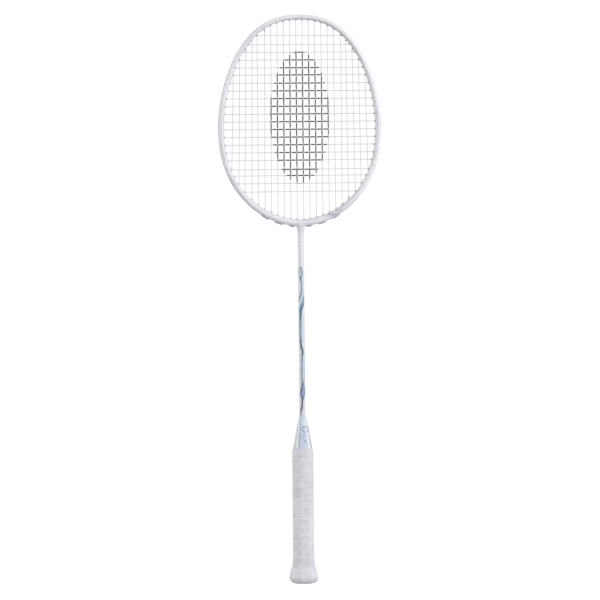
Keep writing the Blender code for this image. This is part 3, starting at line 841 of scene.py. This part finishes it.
# Stem sections: height, half width and half depth in mm, and the power of their outline.
STEM_SECTIONS = ((404, 3.58, 3.58, 2.0), (409, 3.62, 3.62, 2.0), (414, 3.75, 3.8, 2.0),
                 (418, 3.95, 4.1, 2.05), (421, 4.2, 4.45, 2.1), (423, 4.55, 4.75, 2.15),
                 (424.5, 5.1, 4.95, 2.2), (425.6, 5.9, 5.1, 2.3), (426.4, 7.0, 5.2, 2.4),
                 (427, 8.4, 5.2, 2.4), (427.6, 10.2, 5.1, 2.3), (429.5, 10.2, 4.9, 2.2))
STEM_SIDES = 72


def frame_shell(paint):
    """Lacquered skin of the hoop, the throat and the flare into the shaft, with no seam between them."""
    bm = bmesh.new()
    skin(bm, [Hoop.section(a) for a in around(HOOP_STEPS)], close_path=True)
    obj = finish_mesh("frame_shell", bm, paint, "hoop_lacquer", "frame_hoop", "throat_shell")
    stem = bmesh.new()
    rings = []
    for z, half_x, half_y, power in refined(STEM_SECTIONS, 3):
        ring = []
        for a in around(STEM_SIDES):
            c, s = math.cos(a), math.sin(a)
            reach = (abs(c) ** power + abs(s) ** power) ** (-1 / power)
            ring.append(Vector((half_x * reach * c, half_y * reach * s, z)) * MM)
        rings.append(ring)
    skin(stem, rings)
    bmesh.ops.recalc_face_normals(stem, faces=stem.faces)
    guide = linked("stem_guide", mesh_of("stem_guide", stem))
    union = obj.modifiers.new("throat_union", "BOOLEAN")
    union.operation, union.solver, union.object = "UNION", "EXACT", guide
    apply_modifiers(obj)
    bpy.data.objects.remove(guide)
    obj.data.shade_smooth()
    obj.data.set_sharp_from_angle(angle=math.radians(50))
    return obj


def refined(rows, parts):
    """The rows with smooth in-between rows added, as a Catmull-Rom curve through them."""
    rows = [Vector(row) if len(row) < 4 else np.array(row, float) for row in rows]
    made = []
    for i in range(len(rows) - 1):
        p0, p1, p2, p3 = (rows[min(max(k, 0), len(rows) - 1)] for k in (i - 1, i, i + 1, i + 2))
        for k in range(parts):
            t = k / parts
            made.append(0.5 * ((2 * p1) + (p2 - p0) * t + (2 * p0 - 5 * p1 + 4 * p2 - p3) * t ** 2
                               + (3 * p1 - p0 - 3 * p2 + p3) * t ** 3))
    made.append(rows[-1])
    return [tuple(row) for row in made]


def barrel(bm, hole, outer_end):
    """An eyelet through the hoop: a rounded nub inside, and a bore for the string."""
    tip, r, bore = -hole.reach, BARREL_RADIUS, BARREL_BORE
    profile = [(tip + 0.05 * MM, bore + 0.18 * MM), (tip, bore + 0.4 * MM),
               (tip + 0.06 * MM, r - 0.35 * MM), (tip + 0.3 * MM, r - 0.08 * MM),
               (tip + 0.6 * MM, r), (outer_end - 0.2 * MM, r),
               (outer_end, r - 0.2 * MM), (outer_end, bore + 0.25 * MM),
               (outer_end - 0.2 * MM, bore), (tip + 0.3 * MM, bore)]
    turned(bm, hole.centre, hole.axis, profile)


def grommet(name, holes, paint):
    """Strip in the groove with raised edges beside the string, and one eyelet for each hole."""
    overhang = STRAP_OVERHANG / HEAD_RISE
    low = min(hole.mouth_angle for hole in holes) - overhang
    high = max(hole.mouth_angle for hole in holes) + overhang
    twin = strap_thickness(holes[0]) == TWIN_THICKNESS
    steps = max(20, round((high - low) * HEAD_RISE / (1.2 * MM)))
    rings = []
    for i in range(steps + 1):
        share = i / steps
        angle = low + (high - low) * share
        base = Hoop.floor(angle) + (0.02 if twin else 0.1) * MM
        ends = math.sin(math.pi * share) ** (0.5 if twin else 0.08) if 0 < share < 1 else 0.0
        top = strap_thickness(holes[0]) * ends
        wall = (0.75 * ends if twin else 0.55 * ends) * MM
        wide = (3.9 * (0.55 + 0.45 * ends) if twin else 2.05) * MM
        inner_wide = 0.62 * MM if twin else 1.2 * MM
        sink = 0.9 * MM if twin else 0.3 * MM
        half = [(base - sink, wide), (base + top * 0.35, wide), (base + (top + wall) * 0.8, wide * 0.86),
                (base + top + wall, wide * 0.66), (base + top + wall * 0.96, inner_wide + 0.35 * MM),
                (base + top + wall * 0.6, inner_wide + 0.08 * MM), (base + top, inner_wide * 0.7),
                (base + top, 0.0)]
        outline = half + [(out, -y) for out, y in reversed(half[:-1])]
        rings.append([Hoop.at(angle, out, y) for out, y in outline])
    bm = bmesh.new()
    skin(bm, rings)
    for hole in holes:
        barrel(bm, hole, hole.floor + GAP)
    return finish_mesh(name + "_skin", bm, paint, "grommet_plastic", name, angle=50)


def is_top(hole):
    return any(kind == "main_top" and number <= TOP_STRIP_MAINS for kind, number in hole.ends)


def grommets(holes, paint):
    for side, word in ((1, "right"), (-1, "left")):
        mine = [hole for hole in holes if hole.side == side]
        for pair in range(TWIN_PAIRS):
            grommet(f"twin_grommet_{word}_{pair + 1}", mine[2 * pair:2 * pair + 2], paint)
        rest = [hole for hole in mine[2 * TWIN_PAIRS:] if not is_top(hole)]
        for index in range(SIDE_STRIPS):
            first, last = (round(len(rest) * share / SIDE_STRIPS) for share in (index, index + 1))
            grommet(f"side_grommet_strip_{word}_{index + 1}", rest[first:last], paint)
    top = sorted((hole for hole in holes if is_top(hole)), key=lambda hole: hole.centre.x)
    grommet("top_grommet_strip", top, paint)


# ---------------- strings


# Half the weave's height in string radii. The mains lean away from its peaks, so the strings still cut a little.
WEAVE_CLEARANCE = 1.02
STRING_BEND = 0.9 * MM
LONG_RUN = 5 * MM
KNOT_TURNS = 2
KNOT_STEPS = 12
CROSSING_STEPS = 4


def string_radius(point):
    """The string's radius, with the ink's thickness added inside the inked oval."""
    reach = math.hypot(point.x / INK_HALF_WIDTH, (point.z - INK_CENTRE_Z) / INK_HALF_HEIGHT)
    return STRING_RADIUS + INK_THICKNESS * (1 - smooth_step(0.98, 1.03, reach))


def column_sign(number, side):
    """The mains are counted from the left, so that over and under alternate across the whole bed."""
    column = MAINS_PER_SIDE + number if side > 0 else MAINS_PER_SIDE + 1 - number
    return 1 if column % 2 else -1


def woven(start, end, axis, low, high, count, clear, wave):
    """Points from end to end along X or Z, axis 0 or 2. wave(place) is 1 over a crossing string, -1 under."""
    first, last = start[axis], end[axis]
    points = []
    for i in range(count + 1):
        along = low + (high - low) * i / count
        if not min(first, last) + MM < along < max(first, last) - MM:
            continue
        share = (along - first) / (last - first)
        across = start[2 - axis] + (end[2 - axis] - start[2 - axis]) * share
        x, z = (across, along) if axis else (along, across)
        fade = smooth_step(0, clear, min(abs(along - first), abs(along - last)))
        weave = string_radius(Vector((x, 0, z))) * WEAVE_CLEARANCE
        points.append(Vector((x, wave(along) * weave * fade, z)))
    return points if last > first else points[::-1]


def woven_main(start, end, sign):
    """Over and under each cross."""
    low, high = cross_z(CROSS_COUNT) - CROSS_PITCH / 2, CROSS_TOP_Z + CROSS_PITCH / 2

    def wave(z):
        inside = smooth_step(low - MM, low + 2 * MM, z) * (1 - smooth_step(high - 2 * MM, high + MM, z))
        return sign * math.cos(math.pi * (CROSS_TOP_Z - z) / CROSS_PITCH) * inside

    return woven(start, end, 2, low, high, (CROSS_COUNT + 1) * CROSSING_STEPS, 7 * MM, wave)


def woven_cross(start, end, number):
    """Under and over each main."""
    reach = MAIN_PITCH * MAINS_PER_SIDE
    row = 1 if number % 2 else -1

    def wave(x):
        return row * math.cos(math.pi * (x / MAIN_PITCH + MAINS_PER_SIDE + 0.5))

    return woven(start, end, 0, -reach, reach, 2 * MAINS_PER_SIDE * CROSSING_STEPS, 5 * MM, wave)


def outside_run(first, second):
    """The short run outside the hoop, over the grommet strap, from one hole to the next."""
    start, end = first.out(loop_height(first)), second.out(loop_height(second))
    points = [start]
    if first.side == second.side and (end - start).length > LONG_RUN:
        for share in (0.25, 0.5, 0.75):
            angle = first.angle + (second.angle - first.angle) * share
            height = loop_height(first) + (loop_height(second) - loop_height(first)) * share
            middle = Hoop.at(angle, height)
            points.append(first.mirrored(middle))
    points.append(end)
    return points


def strung(passes, weave):
    """One route through every pass, with its runs outside the hoop."""
    points = [passes[0][0].out(0)]
    for index, (start, end) in enumerate(passes):
        points += [start.tip, *weave(index, start.tip, end.tip), end.tip]
        if index + 1 < len(passes):
            points += outside_run(end, passes[index + 1][0])
    points.append(passes[-1][1].out(0))
    return rounded(points, STRING_BEND)


def main_string(hole_of, paint):
    def passes(side):
        for number in range(1, MAINS_PER_SIDE + 1):
            top, bottom = hole_of[("main_top", number, side)], hole_of[("main_bottom", number, side)]
            yield ((top, bottom) if number % 2 else (bottom, top)), column_sign(number, side)

    left = [((end, start), sign) for (start, end), sign in reversed(list(passes(-1)))]
    rows = left + list(passes(1))
    route = strung([row[0] for row in rows], lambda index, a, b: woven_main(a, b, rows[index][1]))
    bm = bmesh.new()
    tube(bm, route, string_radius)
    for side in (1, -1):
        knot(bm, hole_of[("main_top", MAINS_PER_SIDE - 2, side)], side)
    finish_mesh("main_string_woven", bm, paint, "string_nylon", "main_string")


def cross_string(hole_of, paint):
    passes = []
    for number in range(1, CROSS_COUNT + 1):
        left, right = hole_of[("cross", number, -1)], hole_of[("cross", number, 1)]
        passes.append((left, right) if number % 2 else (right, left))
    bm = bmesh.new()
    tube(bm, strung(passes, lambda index, a, b: woven_cross(a, b, index + 1)), string_radius)
    knot(bm, hole_of[("main_top", 6, -1)], -1)
    knot(bm, hole_of[("main_bottom", 8, 1)], 1)
    finish_mesh("cross_string_woven", bm, paint, "string_nylon", "cross_string")


def knot(bm, hole, side):
    """A tie-off: the string's end wound round the string that it is tied to, just inside the hoop."""
    towards = 1.0 if hole.centre.z < HEAD_CENTRE_Z else -1.0
    radius = STRING_RADIUS * 2
    points = []
    for i in range(KNOT_TURNS * KNOT_STEPS + 1):
        a = TURN * i / KNOT_STEPS
        rise = towards * (0.9 * MM + i / KNOT_STEPS * STRING_RADIUS * 2.1)
        points.append(hole.tip + Vector((radius * math.cos(a), radius * math.sin(a), rise)))
    tail = points[-1] + Vector((-side * 0.5 * MM, 1.7 * MM, towards * 0.2 * MM))
    points += [points[-1].lerp(tail, 0.5), tail]
    tube(bm, points, string_radius)


# ---------------- shaft and handle


ROUND_SIDES = 96
SHAFT_STEPS = 60
SHAFT_BORE = 2.65
FRONT_FACET = 0.44
SIDE_FACET = 0.445


def octagon_ring(z, half_x, half_y, roundness=0.0, crispness=26, sides=ROUND_SIDES, lift=None):
    """A softly cornered octagon in mm, nearer an ellipse as roundness rises. lift(angle) adds height."""
    face_x, face_y = half_x * FRONT_FACET, half_y * SIDE_FACET
    edge_x, edge_y = half_x - face_x, half_y - face_y
    length = math.hypot(edge_x, edge_y)
    normal_x, normal_y = edge_y / length, edge_x / length
    bevel = half_x * normal_x + face_y * normal_y
    ring = []
    for a in around(sides):
        c, s = math.cos(a), math.sin(a)
        faces = (c / half_x, s / half_y,
                 (c * normal_x + s * normal_y) / bevel, (c * normal_x - s * normal_y) / bevel)
        reach = sum(abs(face) ** crispness for face in faces) ** (-1 / crispness)
        ellipse = 1 / math.hypot(c / half_x, s / half_y)
        reach += (ellipse - reach) * roundness
        if lift:
            reach += lift(a)
        ring.append(Vector((reach * c, reach * s, z)) * MM)
    return ring


def sleeve(name, outer, inner, paint, slot, node, angle=40):
    """A piece that is a closed tube wall, from outer and inner rings of the same count."""
    bm = bmesh.new()
    skin(bm, outer + inner[::-1], close_path=True)
    finish_mesh(name, bm, paint, slot, node, angle=angle)


def shaft(paint):
    low, high = SHAFT_BOX[0].z / MM, SHAFT_BOX[1].z / MM + 2
    heights = [low + (high - low) * i / SHAFT_STEPS for i in range(SHAFT_STEPS + 1)]
    outer = [octagon_ring(z, SHAFT_RADIUS / MM, SHAFT_RADIUS / MM, 1.0) for z in heights]
    inner = [octagon_ring(z, SHAFT_BORE, SHAFT_BORE, 1.0) for z in (low, high)]
    sleeve("shaft_tube", outer, inner, paint, "shaft_lacquer", "shaft")


# Height, half width and half depth in mm, and roundness.
CONE_PROFILE = ((158.4, 11.0, 9.9, 0.0), (161, 10.95, 9.85, 0.0), (165, 10.15, 9.3, 0.0),
                (170, 9.3, 8.6, 0.03), (175, 8.5, 7.95, 0.08), (180, 7.75, 7.3, 0.15),
                (184.5, 6.9, 6.6, 0.25), (189, 6.1, 5.95, 0.4), (194, 5.05, 5.0, 0.7),
                (197.6, 4.3, 4.3, 0.95), (198.6, 4.15, 4.15, 1.0), (199, 3.85, 3.85, 1.0))
CONE_BORE = ((158.4, 9.6, 8.5, 0.0), (190, 4.6, 4.6, 0.9), (199, 3.6, 3.6, 1.0))


def cone(paint):
    outer = [octagon_ring(*row, crispness=40) for row in refined(CONE_PROFILE, 4)]
    inner = [octagon_ring(*row) for row in CONE_BORE]
    sleeve("cone_shell", outer, inner, paint, "cone_lacquer", "handle_cone", 35)


WRAP_PITCH = 9.7
WRAP_STEP = 0.17
SEAM_DEPTH = 0.16
CREASE_DEPTH = 0.13
GRIP_HALF = (12.3, 11.1)
GRIP_BORE = (10.8, 9.6)
GRIP_ROW = 0.45
GRIP_SIDES = 180
TAPE_PITCH = 9
TAPE_SIDES = 144
CRISP = 22


def wrap_lift(z, strength=1.0):
    """Height of the wound band at each angle: it rises to its lower edge, beside a narrow gap."""

    def lift(angle):
        place = ((z - WRAP_PITCH * angle / TURN) / WRAP_PITCH) % 1.0
        step = WRAP_STEP * (smooth_step(0.0, 0.06, place) - smooth_step(0.06, 1.0, place))
        seam = -SEAM_DEPTH * math.exp(-((min(place, 1 - place) / 0.04) ** 2))
        crease = CREASE_DEPTH * noise.noise(Vector((4 * math.cos(angle), 4 * math.sin(angle), z * 0.4)))
        return (step * 0.6 + seam + crease - 0.1) * strength

    return lift


def grip(paint):
    """Polyurethane band wound up the handle, a little over one turn wide at each step."""
    low, high = GRIP_BOX[0].z / MM, TAPE_BOX[0].z / MM + 1.5
    count = round((high - low) / GRIP_ROW)
    outer = []
    for i in range(count + 1):
        z = low + (high - low) * i / count
        ends = smooth_step(0, 0.8, z - low) * smooth_step(0, 1.2, high - z)
        shrink = 0.25 * (1 - smooth_step(0, 0.8, z - low))
        half_x, half_y = GRIP_HALF[0] - shrink, GRIP_HALF[1] - shrink
        outer.append(octagon_ring(z, half_x, half_y, 0.03, CRISP, GRIP_SIDES, wrap_lift(z, ends)))
    inner = [octagon_ring(z, *GRIP_BORE, 0.0, CRISP, GRIP_SIDES) for z in (low, high)]
    sleeve("grip_band", outer, inner, paint, "grip_polyurethane", "grip_wrap", 60)


def finishing_tape(paint):
    """Film tape wound over the grip's thin end and the foot of the cone, with one lap edge."""
    low, high = TAPE_BOX[0].z / MM - 0.3, TAPE_BOX[1].z / MM
    rows = refined(((low, 12.15, 10.95), (low + 0.35, 12.42, 11.22), (low + 2, 12.4, 11.2),
                    (high - 3, 12.05, 10.85), (high - 0.7, 11.75, 10.55), (high, 11.45, 10.25)), 4)

    def lap(z):
        def lift(angle):
            place = ((z - TAPE_PITCH * angle / TURN) / TAPE_PITCH + 0.3) % 1.0
            return -0.12 * math.exp(-((min(place, 1 - place) / 0.03) ** 2)) - 0.05 * place
        return lift

    outer = [octagon_ring(z, x, y, 0.06, 20, TAPE_SIDES, lap(z)) for z, x, y in rows]
    inner = [octagon_ring(z, 11.0, 9.9, 0.05, 20, TAPE_SIDES) for z in (low, high)]
    sleeve("finishing_tape_wound", outer, inner, paint, "tape_film", "finishing_tape", 50)


RIB_COUNT = 22
RIB_DEPTH = 0.45
BAND_SIDES = 14 * RIB_COUNT
BAND_PROFILE = ((18.6, 13.8, 12.5), (21.2, 13.2, 11.95), (24, 12.75, 11.5), (28.6, 12.5, 11.3))


def start_band(paint):
    """Flared band where the grip starts, with upright ribs between plain rims."""
    rows = refined(BAND_PROFILE, 10)
    low, high = rows[0][0], rows[-1][0]
    outer = []
    for z, half_x, half_y in rows:
        body = smooth_step(0.9, 1.7, z - low) * smooth_step(0.9, 1.7, high - z)
        edge = 0.3 * (1 - smooth_step(0, 0.6, min(z - low, high - z)))

        def ribs(angle, body=body, edge=edge):
            wave = max(0.0, math.cos(RIB_COUNT * angle)) ** 0.6
            return -edge - RIB_DEPTH * body * (1 - wave)

        outer.append(octagon_ring(z, half_x, half_y, 0.04, CRISP, BAND_SIDES, ribs))
    inner = [octagon_ring(z, 11.75, 10.6, 0.0, CRISP, BAND_SIDES) for z in (low, high)]
    sleeve("start_band_ribbed", outer, inner, paint, "tape_film", "grip_start_band", 50)


CAP_PROFILE = ((0.0, 11.2, 10.1, 0.4), (0.15, 12.3, 11.1, 0.38), (0.8, 13.8, 12.5, 0.35),
               (2.0, 15.2, 13.9, 0.32), (4.0, 16.3, 14.9, 0.3), (6.4, 16.85, 15.4, 0.3),
               (8.4, 16.75, 15.3, 0.28), (11.2, 16.1, 14.7, 0.22), (14, 15.4, 14.0, 0.15),
               (18.0, 14.15, 12.85, 0.08), (18.4, 13.95, 12.65, 0.06), (18.55, 13.4, 12.1, 0.05))
# Height and radius in mm, from the recess's floor out to the foot.
RECESS_PROFILE = ((1.7, 0.8), (1.6, 9.2), (0.25, 9.25), (0.0, 9.4))
BADGE_PROFILE = ((0.25, 9.0), (0.08, 8.9), (0.02, 8.6), (0.12, 7.2), (0.16, 6.9), (0.16, 6.5), (0.1, 6.2),
                 (0.1, 4.0), (0.13, 0.3))


def butt_cap(paint):
    """Flared end covered in the same leather, with a recess in its flat foot."""
    outer = [octagon_ring(*row, 18, TAPE_SIDES) for row in refined(CAP_PROFILE, 4)]
    foot = [octagon_ring(z, r, r, 1.0, 18, TAPE_SIDES) for z, r in RECESS_PROFILE]
    bm = bmesh.new()
    skin(bm, foot + outer)
    finish_mesh("butt_cap_leather", bm, paint, "cap_plastic", "butt_cap", angle=50)


def butt_badge(paint):
    """Domed film disc with a rolled edge."""
    rows = ((BADGE_BOX[1].z / MM, 9.0), *BADGE_PROFILE)
    bm = bmesh.new()
    skin(bm, [octagon_ring(z, r, r, 1.0) for z, r in rows])
    finish_mesh("butt_badge_film", bm, paint, "badge_film", "butt_badge")


# ---------------- stage, light and camera


FRAME_SPAN = 712.5 * MM
CAMERA_DISTANCE = 5.0
CAMERA_HEIGHT = 540 * MM
CAMERA_ROLL = math.radians(0.52)
VIEW_CENTRE_Z = 337.0 * MM
VIEW_SHIFT = 1.6 * MM
SENSOR_WIDTH = 36
VIEW_REACH = 30
SWEEP_GLOW = 0.97
SWEEP_RADIUS = 8
SWEEP_HEIGHT = 18.0
SWEEP_SIDES = 96
COVE_STEPS = 12
FLOOR_OPENING = 10 * MM
FLOOR_BELOW_FOOT = 0.4 * MM
ROOM_LOW = 0.38
ROOM_HIGH = 0.64


def sweep_white():
    """Even white that glows by itself, so that thin strings stay dark against it."""
    paint = Paint("sweep_white")
    tone = paint.mix(paint.noise(3, 2), (0.06, 0.06, 0.06, 1), (0.05, 0.05, 0.05, 1))
    paint.set(Base_Color=tone, Roughness=0.9, Specular_IOR_Level=0.1)
    paint.set(Emission_Color=(1, 1, 1, 1), Emission_Strength=SWEEP_GLOW)
    return paint.material


def stage():
    """A round pale studio: a floor that curves up into a wall. It lights nothing, so the lamps shade all."""
    turns = [math.pi / 2 * i / COVE_STEPS for i in range(COVE_STEPS + 1)]
    cove = [(SWEEP_RADIUS + math.sin(a), 1 - math.cos(a)) for a in turns]
    rows = [(FLOOR_OPENING, 0.0), *cove, (SWEEP_RADIUS + 1.0, SWEEP_HEIGHT)]
    bm = bmesh.new()
    skin(bm, [[(r * math.cos(a), r * math.sin(a), z - FLOOR_BELOW_FOOT) for a in around(SWEEP_SIDES)]
              for r, z in rows], caps=False)
    bmesh.ops.reverse_faces(bm, faces=bm.faces)
    mesh = mesh_of("sweep", bm)
    mesh.shade_smooth()
    mesh.materials.append(sweep_white())
    obj = linked("sweep", mesh)
    for ray in ("diffuse", "glossy", "transmission", "shadow"):
        setattr(obj, "visible_" + ray, False)


def area_light(name, place, target, size, power):
    data = bpy.data.lights.new(name, "AREA")
    data.shape, data.size, data.size_y, data.energy = "RECTANGLE", size[0], size[1], power
    light = linked(name, data)
    light.location = place
    light.rotation_euler = (Vector(target) - Vector(place)).to_track_quat("-Z", "Y").to_euler()


def lights():
    """Soft boxes to the left, to the right and in front, and a room that is darker below."""
    middle = (0, 0, VIEW_CENTRE_Z)
    area_light("softbox_left", (-1.8, 0.6, 0.75), middle, (1.6, 2.2), 18)
    area_light("softbox_right", (1.6, -0.9, 0.6), middle, (1.6, 2.2), 15)
    area_light("softbox_front", (0.3, -2.0, 0.9), middle, (2.0, 1.6), 17)
    world = bpy.data.worlds.new("studio")
    bpy.context.scene.world = world
    world.use_nodes = True
    nodes, links = world.node_tree.nodes, world.node_tree.links
    split = nodes.new("ShaderNodeSeparateXYZ")
    links.new(nodes.new("ShaderNodeTexCoord").outputs["Generated"], split.inputs[0])
    level = nodes.new("ShaderNodeMapRange")
    links.new(split.outputs["Z"], level.inputs["Value"])
    for key, value in (("From Min", -0.6), ("From Max", 0.6), ("To Min", ROOM_LOW), ("To Max", ROOM_HIGH)):
        level.inputs[key].default_value = value
    nodes["Background"].inputs["Color"].default_value = (1, 1, 1, 1)
    links.new(level.outputs["Result"], nodes["Background"].inputs["Strength"])


def camera():
    data = bpy.data.cameras.new("photo_view")
    data.sensor_width = SENSOR_WIDTH
    data.clip_end = VIEW_REACH
    obj = linked("photo_view", data)
    aside = Vector((math.cos(VIEW_YAW), math.sin(VIEW_YAW), 0)) * VIEW_SHIFT
    target = Vector((0, 0, VIEW_CENTRE_Z)) - aside
    away = Vector((math.sin(VIEW_YAW), -math.cos(VIEW_YAW), 0)) * CAMERA_DISTANCE
    away.z = CAMERA_HEIGHT - VIEW_CENTRE_Z
    data.lens = data.sensor_width * away.length / FRAME_SPAN
    obj.location = target + away
    look = (-away).to_track_quat("-Z", "Y")
    obj.rotation_euler = (look.to_matrix() @ Matrix.Rotation(-CAMERA_ROLL, 3, "Z")).to_euler()
    bpy.context.scene.camera = obj


def paint_kept_nodes():
    """The hidden CAD pieces keep their shapes and get finished materials."""
    for node, paint in (("handle_core", handle_wood()), ("t_joint_core", core_plastic())):
        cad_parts[node].material_slots[0].material = paint
    steel = tack_steel()
    for node in ("cap_tack_front", "cap_tack_back"):
        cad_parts[node].material_slots[0].material = steel


def main():
    camera()
    stage()
    lights()
    pearl = pearl_lacquer()
    nylon = string_nylon()
    plastic = grommet_plastic()
    holes, hole_of = make_holes()
    frame_shell(pearl)
    grommets(holes, plastic)
    main_string(hole_of, nylon)
    cross_string(hole_of, nylon)
    shaft(shaft_lacquer())
    cone(cone_lacquer())
    grip(grip_leather("grip_leather", rgb(229, 229, 235), rgb(213, 212, 221), wound=True))
    tape = grip_leather("tape_leather", rgb(222, 222, 228), rgb(209, 208, 216), 0.6)
    finishing_tape(tape)
    start_band(tape)
    butt_cap(cap_plastic())
    butt_badge(badge_film())
    paint_kept_nodes()
    scene = bpy.context.scene
    scene.view_settings.view_transform = "Standard"
    scene.view_settings.look = "None"


main()
